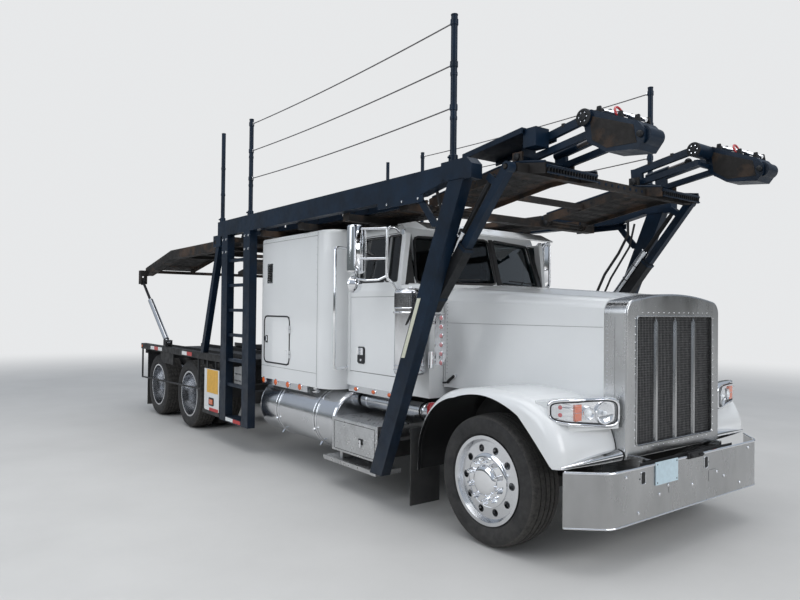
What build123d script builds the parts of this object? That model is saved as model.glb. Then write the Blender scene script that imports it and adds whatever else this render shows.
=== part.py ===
"""Car transporter truck: long-nose tractor with sleeper, over-cab car rack and tail deck.

Millimetres, +Z up. The front looks towards -Y and the truck's right side is -X.
Lengths along the truck are written as distances behind the front axle.
"""
import os
from math import cos, radians, sin

from build123d import *

os.makedirs("parts", exist_ok=True)

# Overall reach, measured from the front axle
FRONT_REACH = 1065
REAR_REACH = 9100
AXLE_Y = (FRONT_REACH - REAR_REACH) / 2

# Running clearances
GAP = 6
SEAT = 0.3
PIN_GAP = 0.5
HINGE_OUT = 20
HINGE_AHEAD = 20
HINGE_PIN_R = 8

# Wheels and axles
TYRE_R = 455
TYRE_W = 285
STEER_FACE_X = 1169
DRIVE_AXLES = (5654, 6976)
DUAL_FACE_X = 1227
DUAL_PITCH = 335
DUAL_TYRE_W = 270
KINGPIN_X = 800
KINGPIN_R = 22
SPINDLE_R = 42
BRAKE_R = 205
HUB_R = 110
AXLE_TUBE_R = 75

# Chassis frame
FRAME_HALF = 430
FRAME_TOP = 900
FRAME_DEPTH = 250
FRAME_FLANGE = 90
FRAME_WEB = 14
FRAME_FRONT = -540
FRAME_REAR = 7700

# Cab
CAB_HALF = 950
CAB_ROOF_HALF = 880
CAB_FLOOR_Z = 910
CAB_BELT_Z = 1800
CAB_ROOF_Z = 2395
CAB_FRONT = 860
CAB_REAR = 2090
CAB_WALL = 45
COWL_Z = 1850
SCREEN_FOOT = 1000
SCREEN_SWEEP = 0.29
SCREEN_RAKE = 0.29
DOOR_FRONT = 1260
DOOR_REAR = 2040
DOOR_LOW = 1050
DOOR_HIGH = 2310

# Sleeper
SLEEPER_HALF = 1150
SLEEPER_FULL = 2330
SLEEPER_REAR = 3600
SLEEPER_LOW = 862
SLEEPER_ROOF = 2405
SLEEPER_WALL = 40
LOCKER = (2910, 3480, 1050, 1540)
LOCKER_HINGE_Z = (1160, 1420)
DOOR_HINGE_Z = (1180, 1680)
VENT = (3300, 3420, 1910, 2120)

# Hood, fenders and nose
HOOD_WALL = 22
HOOD_LOW = 1000
NOSE_HALF = 600
NOSE_FRONT = -742
NOSE_BACK = -565
NOSE_LOW = 662
NOSE_TOP = 1766
GRILLE_HALF = 487
GRILLE_LOW = 746
GRILLE_HIGH = 1606
FENDER_HALF = 1191
FENDER_INNER = NOSE_HALF + GAP

# Bumper
BUMPER_FACE = -872
HOOD_HINGE = (-780, 640)
HOOD_PIN_R = 14
BUMPER_END = -671
BUMPER_HALF = 1154
BUMPER_FLAT = 930
BUMPER_LOW = 300
BUMPER_HIGH = 645
BUMPER_T = 10

# Tanks and boxes beside the frame
TANK_R = 288
TANK_X = 882
TANK_Z = 562
TANK_ENDS = (1975, 3540)
STRAPS = (2300, 3090)

# Rack
RACK_HALF = 1295
RACK_T = 90
RAIL_LOW = 2500
RAIL_HIGH = 2680
RAIL_FRONT = 20
RAIL_NOSE_LOW = 2560
SOCKET_TOP = 2700
RAIL_REAR = 4520
POST_FOOT = 290
COLUMNS = (3675, 4300)
COLUMN_W = 170
LEG_W = 150
LEG_FOOT = (1120, 290)
LEG_HEAD = (178, RAIL_NOSE_LOW)
POLE_R = 24
POLE_TOP = 3770
CROSS_LOW = 2430
CROSS_H = 60
TRACK_IN = 420
TRACK_W = 560
TRACK_T = 45

# Front platform, its legs and cylinders
PLATFORM_HINGE = (810, 2462)
HINGE_R = 18
LEG_PIVOT = (560, 1660)
LEG_EYE = (-200, 2605)
LEG_X = 1155
RAM_BEHIND = 88
RAM_FOOT = 75
RAM_EYE = 1075
RAM_PIN_R = 12
PIVOT_R = 20
EYE_PIN_R = 16
EYE_BORE_R = 21
ARM_PIVOT = (-120, 2712)
ARM_PIN_R = 16

# Tail deck, its cylinders
TAIL_HINGE = (4600, 2440)
TAIL_HINGE_R = 28
TAIL_REAR = 7840
TAIL_BEND = 6600
TAIL_FRONT_Z = 2485
TAIL_BEND_Z = 2476
TAIL_REAR_Z = 2265
TAIL_SLOPE = (TAIL_BEND_Z - TAIL_REAR_Z) / (TAIL_REAR - TAIL_BEND)
TAIL_HALF = 1180
TAIL_BEAM_W = 120
TAIL_RAM_FOOT = (6500, 1110)
TAIL_RAM_EYE = (7770, 2045)
TAIL_PIN_R = 22
TAIL_BORE_R = 46
TAIL_RAM_X = 1240
RAM_LUG_IN = 1190
RAM_LUG_OUT = 1290

# Low deck over the drive wheels
LOW_RAIL_TOP = 1055
LOW_RAIL_H = 85
LOW_TRACK_IN = 300
LOW_TRACK_W = 560

# Coupling behind the frame
STINGER_Z = 330
STINGER_W = 260
HITCH_Y = 9000
BALL_R = 44

RIGHT_LEFT = (("right", -1), ("left", 1))


def side(x):
    """Plane seen from the left side: local x runs rearward from the front axle, local y up."""
    return Plane(origin=(x, AXLE_Y, 0), x_dir=(0, 1, 0), z_dir=(1, 0, 0))


def top(z):
    """Level plane at height z, with its origin over the front axle."""
    return Plane(origin=(0, AXLE_Y, z), x_dir=(1, 0, 0), z_dir=(0, 0, 1))


def front(y):
    """Upright cross plane y behind the front axle, facing forward."""
    return Plane(origin=(0, AXLE_Y + y, 0), x_dir=(1, 0, 0), z_dir=(0, -1, 0))


def at(x, y, z):
    """Point in the model frame from a distance y behind the front axle."""
    return Vector(x, AXLE_Y + y, z)


def block(x, y, z, mode=Mode.ADD):
    """Box between the two values of x, y and z."""
    with Locations(at((x[0] + x[1]) / 2, (y[0] + y[1]) / 2, (z[0] + z[1]) / 2)):
        Box(abs(x[1] - x[0]), abs(y[1] - y[0]), abs(z[1] - z[0]), mode=mode)


def bar(start, end, radius, mode=Mode.ADD):
    """Round bar between two points."""
    run = end - start
    with BuildSketch(Plane(origin=start, z_dir=run)) as section:
        Circle(radius)
    extrude(section.sketch, amount=run.length, mode=mode)


def beam(start, end, width, depth, mode=Mode.ADD):
    """Square-cut beam between two points, its width along X."""
    run = end - start
    with BuildSketch(Plane(origin=start, x_dir=(1, 0, 0), z_dir=run)) as section:
        Rectangle(width, depth)
    extrude(section.sketch, amount=run.length, mode=mode)


def finish(piece, name):
    """Label a finished piece and write it."""
    piece.part.label = name
    export_step(piece.part, f"parts/{name}.step")


def turned(profile, plane):
    """Solid of revolution about the plane's x axis, from points (along, radius)."""
    with BuildSketch(plane) as section:
        Polygon(*profile, align=None)
    revolve(section.sketch, axis=Axis(plane.origin, plane.x_dir), revolution_arc=360)


def wheel_plane(y):
    """Plane through a wheel axis: local x along X, local y up."""
    return Plane(origin=(0, AXLE_Y + y, TYRE_R), x_dir=(1, 0, 0), z_dir=(0, -1, 0))


# Chassis frame: two channels joined by cross members
CROSS_MEMBER_W = 60
CROSS_MEMBERS = (-500, 980, 2300, 3900, 4900, 6315, 7560)
BODY_MOUNTS = (1000, 1950, 2300, 3400)
OUTRIGGERS = ((LEG_FOOT[0] - 60, LEG_FOOT[0] + 60, 420), (COLUMNS[0] - 70, COLUMNS[0] + 70, 560),
              (COLUMNS[1] - 70, COLUMNS[1] + 70, 560))
OUTRIGGER_H = 130
FRAME_LOW = FRAME_TOP - FRAME_DEPTH
with BuildPart() as frame:
    for s in (-1, 1):
        outer = s * FRAME_HALF
        web = s * (FRAME_HALF - FRAME_WEB)
        inner = s * (FRAME_HALF - FRAME_FLANGE)
        block((web, outer), (FRAME_FRONT, FRAME_REAR), (FRAME_LOW, FRAME_TOP))
        block((inner, outer), (FRAME_FRONT, FRAME_REAR), (FRAME_TOP - FRAME_WEB, FRAME_TOP))
        block((inner, outer), (FRAME_FRONT, FRAME_REAR), (FRAME_LOW, FRAME_LOW + FRAME_WEB))
    for y in CROSS_MEMBERS:
        block((-FRAME_HALF + FRAME_WEB + SEAT, FRAME_HALF - FRAME_WEB - SEAT), (y, y + CROSS_MEMBER_W),
              (FRAME_LOW + 30, FRAME_TOP - 30))
    for y in BODY_MOUNTS:
        block((-FRAME_HALF, FRAME_HALF), (y, y + 80), (FRAME_TOP + SEAT, CAB_FLOOR_Z - SEAT))
    for s in (-1, 1):
        for start, end, low in OUTRIGGERS:
            block((s * (FRAME_HALF + SEAT), s * (RACK_HALF - RACK_T - SEAT)), (start, end),
                  (low, low + OUTRIGGER_H))
            block((s * (FRAME_HALF + SEAT), s * (FRAME_HALF + 40)), (start, end),
                  (low + OUTRIGGER_H + SEAT, FRAME_LOW + 80))
finish(frame, "frame")

# Engine and radiator, the heavy masses under the hood
ENGINE_HALF = 290
RADIATOR_Y = (-540, -480)
with BuildPart() as engine:
    block((-ENGINE_HALF, ENGINE_HALF), (CROSS_MEMBERS[0] + CROSS_MEMBER_W + SEAT, 790), (FRAME_LOW - 40, 1450))
    block((-460, 460), RADIATOR_Y, (FRAME_TOP + SEAT, 1590))
finish(engine, "engine")

# Front axle beam, carrying the kingpin bosses at its ends
BOSS_R = 48
BOSS_HALF = 62
DRIVE_SPINDLE_END = 976
with BuildPart() as axles:
    drop = 105
    with BuildSketch(front(-45)) as beam_outline:
        with BuildLine():
            Polyline(
                (-KINGPIN_X, TYRE_R - 40), (-KINGPIN_X + 65, TYRE_R - 40), (-580, TYRE_R - 40 - drop),
                (580, TYRE_R - 40 - drop), (KINGPIN_X - 65, TYRE_R - 40), (KINGPIN_X, TYRE_R - 40),
                (KINGPIN_X, TYRE_R + 45), (KINGPIN_X - 65, TYRE_R + 45), (550, TYRE_R + 45 - drop),
                (-550, TYRE_R + 45 - drop), (-KINGPIN_X + 65, TYRE_R + 45), (-KINGPIN_X, TYRE_R + 45),
                close=True)
        make_face()
    extrude(amount=-90)
    for s in (-1, 1):
        bar(at(s * KINGPIN_X, 0, TYRE_R - BOSS_HALF), at(s * KINGPIN_X, 0, TYRE_R + BOSS_HALF), BOSS_R)
        bar(at(s * KINGPIN_X, 0, TYRE_R - 2 * BOSS_HALF), at(s * KINGPIN_X, 0, TYRE_R + 2 * BOSS_HALF),
            KINGPIN_R + PIN_GAP, mode=Mode.SUBTRACT)
    for axle in DRIVE_AXLES:
        turned([(-DRIVE_SPINDLE_END, 0), (-DRIVE_SPINDLE_END, SPINDLE_R), (-745, SPINDLE_R),
                (-745, AXLE_TUBE_R), (-260, AXLE_TUBE_R), (-160, 190), (0, 215), (160, 190),
                (260, AXLE_TUBE_R), (745, AXLE_TUBE_R), (745, SPINDLE_R), (DRIVE_SPINDLE_END, SPINDLE_R),
                (DRIVE_SPINDLE_END, 0)], wheel_plane(axle))
        bar(at(0, axle - 330, TYRE_R + 20), at(0, axle - 120, TYRE_R + 20), 90)
finish(axles, "axles")

# Front leaf springs, rear air springs and their trailing beams, between the axles and the frame
SPRING_REACH = 640
BAG_R = 105
BEAM_LOW = TYRE_R + AXLE_TUBE_R + SEAT
with BuildPart() as suspension:
    for s in (-1, 1):
        with BuildSketch(side(s * (FRAME_HALF - 45) - 40)) as leaf:
            with BuildLine():
                low = TYRE_R + 45 - 105 + SEAT
                ThreePointArc((-SPRING_REACH, FRAME_LOW - 30), (0, low), (SPRING_REACH, FRAME_LOW - 30))
                Line((SPRING_REACH, FRAME_LOW - 30), (SPRING_REACH, FRAME_LOW - SEAT))
                Line((SPRING_REACH, FRAME_LOW - SEAT), (SPRING_REACH - 70, FRAME_LOW - SEAT))
                ThreePointArc((SPRING_REACH - 70, FRAME_LOW - SEAT), (0, low + 80),
                              (-SPRING_REACH + 70, FRAME_LOW - SEAT))
                Line((-SPRING_REACH + 70, FRAME_LOW - SEAT), (-SPRING_REACH, FRAME_LOW - SEAT))
                Line((-SPRING_REACH, FRAME_LOW - SEAT), (-SPRING_REACH, FRAME_LOW - 30))
            make_face()
        extrude(leaf.sketch, amount=80)
    for axle in DRIVE_AXLES:
        for s in (-1, 1):
            bar(at(s * 400, axle + 300, BEAM_LOW), at(s * 400, axle + 300, FRAME_LOW - SEAT), BAG_R)
            block((s * 360, s * 440), (axle - 420, axle + 400), (BEAM_LOW, BEAM_LOW + 50))
            block((s * 370, s * 430), (axle - 420, axle - 340), (BEAM_LOW, FRAME_LOW - SEAT))
finish(suspension, "suspension")

# Steering knuckles: two ears on the kingpin, a plate and the wheel spindle
SPINDLE_END = 1090
ROD_Y = 190
ARM_LOW = TYRE_R - 115
for name, s in RIGHT_LEFT:
    with BuildPart() as knuckle:
        x = s * KINGPIN_X
        bar(at(x, 0, TYRE_R - 125), at(x, 0, TYRE_R + 125), KINGPIN_R)
        for low, high in ((TYRE_R + BOSS_HALF + 3, TYRE_R + 125), (TYRE_R - 125, TYRE_R - BOSS_HALF - 3)):
            bar(at(x, 0, low), at(x, 0, high), BOSS_R)
            block((x, s * (KINGPIN_X + 72)), (-38, 38), (low, high))
        block((s * (KINGPIN_X + BOSS_R + 7), s * (KINGPIN_X + 80)), (-60, 60), (TYRE_R - 125, TYRE_R + 125))
        bar(at(s * (KINGPIN_X + 70), 0, TYRE_R), at(s * SPINDLE_END, 0, TYRE_R), SPINDLE_R)
        block((s * (KINGPIN_X + 58), s * (KINGPIN_X + 80)), (40, ROD_Y + 25), (ARM_LOW, ARM_LOW + 35))
        block((s * (KINGPIN_X - 25), s * (KINGPIN_X + 80)), (ROD_Y - 25, ROD_Y + 25), (ARM_LOW, ARM_LOW + 35))
    finish(knuckle, f"knuckle_{name}")


def tyre_profile(outer_x, width, s):
    """Tyre section as (distance out, radius) with a closed inside that seats on the rim."""
    half = width / 2
    mid = outer_x - half
    points = ((-0.36, 1), (0.36, 1), (0.47, 0.945), (0.5, 0.82), (0.42, 0.68), (-0.42, 0.68),
              (-0.5, 0.82), (-0.47, 0.945))
    return [(s * (mid + a * width), TYRE_R * r) for a, r in points]


TYRE_SEAT = TYRE_R * 0.68
HAND_HOLES = 10
HAND_HOLE_PCD = 222
HAND_HOLE_R = 26

# Front wheels: drum with hub, polished rim and tyre
for name, s in RIGHT_LEFT:
    face = STEER_FACE_X
    with BuildPart() as tyre:
        turned(tyre_profile(face, TYRE_W, s), wheel_plane(0))
    finish(tyre, f"front_tyre_{name}")
    with BuildPart() as rim:
        inboard = face - TYRE_W + 22
        outboard = face - 14
        disc = face - 62
        turned([(s * inboard, TYRE_SEAT - SEAT), (s * outboard, TYRE_SEAT - SEAT),
                (s * outboard, TYRE_SEAT - 24), (s * (disc + 14), TYRE_SEAT - 44),
                (s * (disc + 22), 130), (s * (disc + 22), HUB_R + SEAT),
                (s * disc, HUB_R + SEAT), (s * disc, 130), (s * (disc - 10), TYRE_SEAT - 48),
                (s * inboard, TYRE_SEAT - 24)], wheel_plane(0))
        with Locations(Plane(origin=at(s * (disc - 40), 0, TYRE_R), x_dir=(0, 1, 0), z_dir=(s, 0, 0))):
            with PolarLocations(HAND_HOLE_PCD, HAND_HOLES):
                Cylinder(HAND_HOLE_R, 160, mode=Mode.SUBTRACT)
        drum_in = KINGPIN_X + 92
        turned([(s * drum_in, BRAKE_R), (s * (disc - 12), BRAKE_R), (s * (disc - 12), HUB_R),
                (s * (face - 22), HUB_R), (s * (face - 6), HUB_R - 40), (s * (face + 8), 40),
                (s * (face + 8), 0),
                (s * (SPINDLE_END + 6), 0), (s * (SPINDLE_END + 6), SPINDLE_R + PIN_GAP),
                (s * (drum_in + 60), SPINDLE_R + PIN_GAP), (s * (drum_in + 60), BRAKE_R - 25),
                (s * drum_in, BRAKE_R - 25)], wheel_plane(0))
    finish(rim, f"front_wheel_{name}")

# Twin drive wheels: both tyres, both rims and the hub of one side turn as one body
for number, axle in enumerate(DRIVE_AXLES, start=1):
    for name, s in RIGHT_LEFT:
        with BuildPart() as tyres:
            for face in (DUAL_FACE_X, DUAL_FACE_X - DUAL_PITCH):
                turned(tyre_profile(face, DUAL_TYRE_W, s), wheel_plane(axle))
        finish(tyres, f"drive_tyres_{number}_{name}")
        with BuildPart() as rims:
            flange = DUAL_FACE_X - DUAL_TYRE_W / 2 - DUAL_PITCH / 2
            low = TYRE_SEAT - 22
            turned([(s * (flange + 12), HUB_R + SEAT), (s * (flange + 12), low - 40), (s * (flange + 40), low),
                    (s * (DUAL_FACE_X - 14), low), (s * (DUAL_FACE_X - 14), TYRE_SEAT - SEAT),
                    (s * (DUAL_FACE_X - DUAL_TYRE_W + 14), TYRE_SEAT - SEAT),
                    (s * (DUAL_FACE_X - DUAL_TYRE_W + 14), low), (s * (flange + SEAT), low - 20),
                    (s * (flange + SEAT), HUB_R + SEAT)], wheel_plane(axle))
            inner_face = DUAL_FACE_X - DUAL_PITCH
            turned([(s * (flange - 12), HUB_R + SEAT), (s * (flange - 12), low - 40), (s * (flange - 40), low),
                    (s * (inner_face - DUAL_TYRE_W + 14), low),
                    (s * (inner_face - DUAL_TYRE_W + 14), TYRE_SEAT - SEAT),
                    (s * (inner_face - 14), TYRE_SEAT - SEAT), (s * (inner_face - 14), low),
                    (s * (flange - SEAT), low - 20), (s * (flange - SEAT), HUB_R + SEAT)], wheel_plane(axle))
            with Locations(Plane(origin=at(s * flange, axle, TYRE_R), x_dir=(0, 1, 0), z_dir=(s, 0, 0))):
                with PolarLocations(HAND_HOLE_PCD, HAND_HOLES):
                    Cylinder(HAND_HOLE_R, 160, mode=Mode.SUBTRACT)
            turned([(s * 660, BRAKE_R), (s * (flange - 24), BRAKE_R), (s * (flange - 24), HUB_R),
                    (s * (flange + 90), HUB_R), (s * (flange + 130), HUB_R - 35), (s * (flange + 130), 0),
                    (s * (flange + 60), 0), (s * (flange + 60), SPINDLE_R + PIN_GAP),
                    (s * 760, SPINDLE_R + PIN_GAP), (s * 760, BRAKE_R - 25), (s * 660, BRAKE_R - 25)],
                   wheel_plane(axle))
        finish(rims, f"drive_wheels_{number}_{name}")

# Track rod under the ends of the steering arms
with BuildPart() as track_rod:
    rod_z = ARM_LOW - PIN_GAP - 26
    bar(at(-KINGPIN_X, ROD_Y, rod_z), at(KINGPIN_X, ROD_Y, rod_z), 18)
    for s in (-1, 1):
        bar(at(s * KINGPIN_X, ROD_Y, rod_z - 22), at(s * KINGPIN_X, ROD_Y, ARM_LOW - PIN_GAP), 30)
finish(track_rod, "track_rod")


# Bumper: one polished plate with swept ends and two tow slots
def bumper_edge(depth):
    """Plan outline of the bumper's face, moved back by depth."""
    return FilletPolyline(
        (-BUMPER_HALF + depth, BUMPER_END), (-BUMPER_FLAT + depth / 2, BUMPER_FACE + depth),
        (BUMPER_FLAT - depth / 2, BUMPER_FACE + depth), (BUMPER_HALF - depth, BUMPER_END), radius=160 - depth)


with BuildPart() as bumper:
    with BuildSketch(top(BUMPER_LOW)) as plan:
        with BuildLine():
            outer_edge = bumper_edge(0)
            inner_edge = bumper_edge(BUMPER_T)
            Line(outer_edge @ 0, inner_edge @ 0)
            Line(outer_edge @ 1, inner_edge @ 1)
        make_face()
    extrude(amount=BUMPER_HIGH - BUMPER_LOW)
    for s in (-1, 1):
        block((s * 230, s * 290), (BUMPER_FACE - 20, BUMPER_FACE + 40), (455, 490), mode=Mode.SUBTRACT)
        bracket_x = (s * (FRAME_HALF + SEAT), s * (FRAME_HALF + 50))
        block(bracket_x, (BUMPER_FACE + BUMPER_T - 2, FRAME_FRONT + 190), (BUMPER_LOW + 180, BUMPER_HIGH - 5))
        block(bracket_x, (FRAME_FRONT + 20, FRAME_FRONT + 190), (BUMPER_HIGH - 10, FRAME_LOW + 120))
        block(bracket_x, (HOOD_HINGE[0] - 35, HOOD_HINGE[0] + 28), (BUMPER_LOW + 180, HOOD_HINGE[1] + 20))
        bar(at(s * (FRAME_HALF + 40), *HOOD_HINGE), at(s * (FRAME_HALF + 92), *HOOD_HINGE), HOOD_PIN_R)
finish(bumper, "bumper")

# Hood: a shell lofted between the cowl and the nose
#            y      half  crease  shoulder  rise  crown
HOOD_REAR = (CAB_FRONT - 12, 800, 1715, 240, 105, 1862)
HOOD_NOSE = (NOSE_BACK, NOSE_HALF, 1660, 130, 70, NOSE_TOP)


def hood_section(row, inset, low):
    """Arched cross section of the hood, shrunk by inset."""
    y, half, crease, shoulder, rise, crown = row
    half = half - inset
    with BuildSketch(front(y)) as section:
        with BuildLine():
            Line((-half, low), (-half, crease))
            ThreePointArc((-half, crease), (-half + 0.3 * shoulder, crease + 0.72 * (rise - inset)),
                          (-half + shoulder, crease + rise - inset))
            ThreePointArc((-half + shoulder, crease + rise - inset), (0, crown - inset),
                          (half - shoulder, crease + rise - inset))
            ThreePointArc((half - shoulder, crease + rise - inset),
                          (half - 0.3 * shoulder, crease + 0.72 * (rise - inset)), (half, crease))
            Line((half, crease), (half, low))
            Line((half, low), (-half, low))
        make_face()
    return section.sketch


with BuildPart() as hood_mass:
    loft([hood_section(HOOD_REAR, 0, HOOD_LOW), hood_section(HOOD_NOSE, 0, HOOD_LOW)])
with BuildPart() as hood_room:
    loft([hood_section(HOOD_REAR, HOOD_WALL, HOOD_LOW - 20), hood_section(HOOD_NOSE, HOOD_WALL, HOOD_LOW - 20)])
with BuildPart() as hood:
    add(hood_mass.part)
    add(hood_room.part, mode=Mode.SUBTRACT)
finish(hood, "hood")

# Nose: the polished frame round the grille
NOSE_WALL = 16
NOSE_CORNER = 95
with BuildPart() as nose:
    with BuildSketch(front(NOSE_BACK - SEAT)):
        with BuildLine():
            shoulder_z = NOSE_TOP - 45
            Line((-NOSE_HALF, NOSE_LOW), (-NOSE_HALF, shoulder_z - NOSE_CORNER))
            ThreePointArc((-NOSE_HALF, shoulder_z - NOSE_CORNER),
                          (-NOSE_HALF + 0.3 * NOSE_CORNER, shoulder_z - 0.3 * NOSE_CORNER),
                          (-NOSE_HALF + NOSE_CORNER, shoulder_z))
            ThreePointArc((-NOSE_HALF + NOSE_CORNER, shoulder_z), (0, NOSE_TOP),
                          (NOSE_HALF - NOSE_CORNER, shoulder_z))
            ThreePointArc((NOSE_HALF - NOSE_CORNER, shoulder_z),
                          (NOSE_HALF - 0.3 * NOSE_CORNER, shoulder_z - 0.3 * NOSE_CORNER),
                          (NOSE_HALF, shoulder_z - NOSE_CORNER))
            Line((NOSE_HALF, shoulder_z - NOSE_CORNER), (NOSE_HALF, NOSE_LOW))
            Line((NOSE_HALF, NOSE_LOW), (-NOSE_HALF, NOSE_LOW))
        make_face()
    extrude(amount=NOSE_BACK - SEAT - NOSE_FRONT)
    block((-GRILLE_HALF - 50, GRILLE_HALF + 50), (NOSE_FRONT + NOSE_WALL, 0),
          (GRILLE_LOW - 45, GRILLE_HIGH + 45), mode=Mode.SUBTRACT)
    block((-GRILLE_HALF, GRILLE_HALF), (NOSE_FRONT - 20, 0), (GRILLE_LOW, GRILLE_HIGH), mode=Mode.SUBTRACT)
    nose_rim = nose.faces().sort_by(Axis.Y)[0].outer_wire().edges()
    fillet(nose_rim, radius=NOSE_WALL * 0.9)
    for s in (-1, 1):
        lug_x = (s * (FRAME_HALF + 50 + GAP), s * (FRAME_HALF + 86))
        block(lug_x, (HOOD_HINGE[0] - 28, NOSE_FRONT + 60), (HOOD_HINGE[1] - 28, NOSE_LOW + 15))
        bar(at(s * FRAME_HALF, *HOOD_HINGE), at(s * (FRAME_HALF + 110), *HOOD_HINGE), HOOD_PIN_R + PIN_GAP,
            mode=Mode.SUBTRACT)
finish(nose, "nose")

# Grille: three uprights between four open mesh panels
GRILLE_BARS = (-GRILLE_HALF / 2, 0, GRILLE_HALF / 2)
MESH_ROWS = 16
MESH_COLUMNS = 4
MESH_Y = NOSE_FRONT + NOSE_WALL + SEAT
with BuildPart() as grille:
    block((-GRILLE_HALF - 30, GRILLE_HALF + 30), (MESH_Y, MESH_Y + 8), (GRILLE_LOW - 30, GRILLE_HIGH + 30))
    cell_w = GRILLE_HALF / 2 / MESH_COLUMNS
    cell_h = (GRILLE_HIGH - GRILLE_LOW) / MESH_ROWS
    with BuildSketch(front(MESH_Y)) as holes:
        for column in range(4 * MESH_COLUMNS):
            for row in range(MESH_ROWS):
                with Locations((-GRILLE_HALF + (column + 0.5) * cell_w, GRILLE_LOW + (row + 0.5) * cell_h)):
                    Rectangle(cell_w - 18, cell_h - 14)
    extrude(holes.sketch, amount=-8, mode=Mode.SUBTRACT)
    for x in GRILLE_BARS:
        block((x - 9, x + 9), (NOSE_FRONT - 4, MESH_Y), (GRILLE_LOW + 4, GRILLE_HIGH - 4))
finish(grille, "grille")

# Headlamp housings, wrapped round the front corners of the fenders
LAMP_LOW = 868
LAMP_HIGH = 1052
LAMP_IN = NOSE_HALF + 24


def lamp_solid(s, grow):
    """Lamp housing of side s, grown by a clearance."""
    with BuildPart() as housing:
        with BuildSketch(top(LAMP_LOW - grow)):
            Polygon((s * (LAMP_IN - grow), -700 - grow), (s * 1010, -612 - grow), (s * (1130 + grow), -430),
                    (s * 1060, -345 + grow), (s * (LAMP_IN - grow), -480 + grow), align=None)
        extrude(amount=LAMP_HIGH - LAMP_LOW + 2 * grow)
    return housing


with BuildPart() as headlamps:
    for s in (-1, 1):
        add(lamp_solid(s, 0).part)
finish(headlamps, "headlamps")

# Fenders: crowned shells with an open wheel arch, cut to the hood, with room for the headlamps
FENDER_T = 16
FENDER_CROWN_R = 90


def fender_body(s, inset, low):
    """Solid fender form of side s, shrunk by inset and carried down to a height."""
    with BuildPart() as form:
        start = FENDER_INNER - 2 if inset else FENDER_INNER
        width = FENDER_HALF - inset - start
        with BuildSketch(side(start if s > 0 else -FENDER_HALF + inset)) as outline:
            with BuildLine():
                Line((762 - inset, low), (755 - inset, 540))
                crown = TangentArc((755 - inset, 540), (300, 1062 - inset), tangent=(-0.05, 1))
                brow = TangentArc((300, 1062 - inset), (-330, 1070 - inset), tangent=crown % 1)
                TangentArc((-330, 1070 - inset), (-668 + inset, 655), tangent=brow % 1)
                Polyline((-668 + inset, 655), (-668 + inset, low), (762 - inset, low))
            make_face()
        extrude(outline.sketch, amount=width)
        outer = form.faces().sort_by(Axis.X)[-1 if s > 0 else 0]
        arcs = outer.edges().filter_by(GeomType.CIRCLE)
        fillet(arcs, radius=FENDER_CROWN_R - inset)
    return form.part


with BuildPart() as fenders:
    for s in (-1, 1):
        add(fender_body(s, 0, 390))
        add(fender_body(s, FENDER_T, 300), mode=Mode.SUBTRACT)
        with BuildSketch(side(s * (FENDER_HALF - 50))) as opening:
            with BuildLine():
                Line((716, 300), (712, 540))
                ThreePointArc((712, 540), (600, 830), (300, 1000))
                ThreePointArc((300, 1000), (-40, 1042), (-330, 950))
                ThreePointArc((-330, 950), (-480, 800), (-612, 655))
                Polyline((-612, 655), (-700, 655), (-700, 300), (716, 300))
            make_face()
        extrude(opening.sketch, amount=80, both=True, mode=Mode.SUBTRACT)
        add(lamp_solid(s, SEAT).part, mode=Mode.SUBTRACT)
    block((-FENDER_HALF - 20, FENDER_HALF + 20), (-900, 0), (300, 655), mode=Mode.SUBTRACT)
    add(hood_mass.part, mode=Mode.SUBTRACT)
finish(fenders, "fenders")

# Cab: a hollow shell, narrower at the roof, with a swept two-piece windscreen
CAB_SHOULDER_R = 70


def cab_section(inset):
    """Cross section of the cab, shrunk by inset."""
    with BuildSketch(front(0)) as section:
        with BuildLine():
            low = CAB_FLOOR_Z + inset
            roof = CAB_ROOF_Z - inset
            wide = CAB_HALF - inset
            narrow = CAB_ROOF_HALF - inset
            Polyline((-wide, low), (-wide, CAB_BELT_Z), (-narrow, roof), (narrow, roof), (wide, CAB_BELT_Z),
                     (wide, low), close=True)
        make_face()
        fillet(section.vertices().group_by(Axis.Y)[-1], radius=CAB_SHOULDER_R - inset / 2)
    return section.sketch


def screen_plane(s):
    """Plane of one windscreen pane: local x outwards from the middle, local y up the pane."""
    foot = at(0, SCREEN_FOOT, COWL_Z)
    out = Vector(s, SCREEN_SWEEP, 0)
    up = Vector(0, SCREEN_RAKE, 1)
    normal = out.cross(up) if s < 0 else up.cross(out)
    normal = normal if normal.Y < 0 else -normal
    return Plane(origin=foot, x_dir=out, z_dir=normal)


def ahead_of_screen(depth):
    """Everything above the cowl and in front of both panes, moved back by depth."""
    with BuildPart() as ahead:
        for s in (-1, 1):
            plane = screen_plane(s).offset(-depth)
            with BuildSketch(plane) as cover:
                up = 1 if plane.y_dir.Z > 0 else -1
                Polygon((-500, -up * 400), (1300, -up * 400), (1300, up * 900), (-500, up * 900), align=None)
            extrude(cover.sketch, amount=900)
        block((-2000, 2000), (-1000, 3000), (0, COWL_Z - depth), mode=Mode.SUBTRACT)
    return ahead.part


def cab_tube(inset, start, end):
    """Cab cross section carried from start to end behind the axle."""
    with BuildPart() as tube:
        extrude(cab_section(inset).moved(Location((0, start, 0))), amount=start - end)
    return tube.part


SCREEN_MARGIN = 32
SCREEN_HALF = 830
SCREEN_LOW = 22
SCREEN_HIGH = 455


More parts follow.
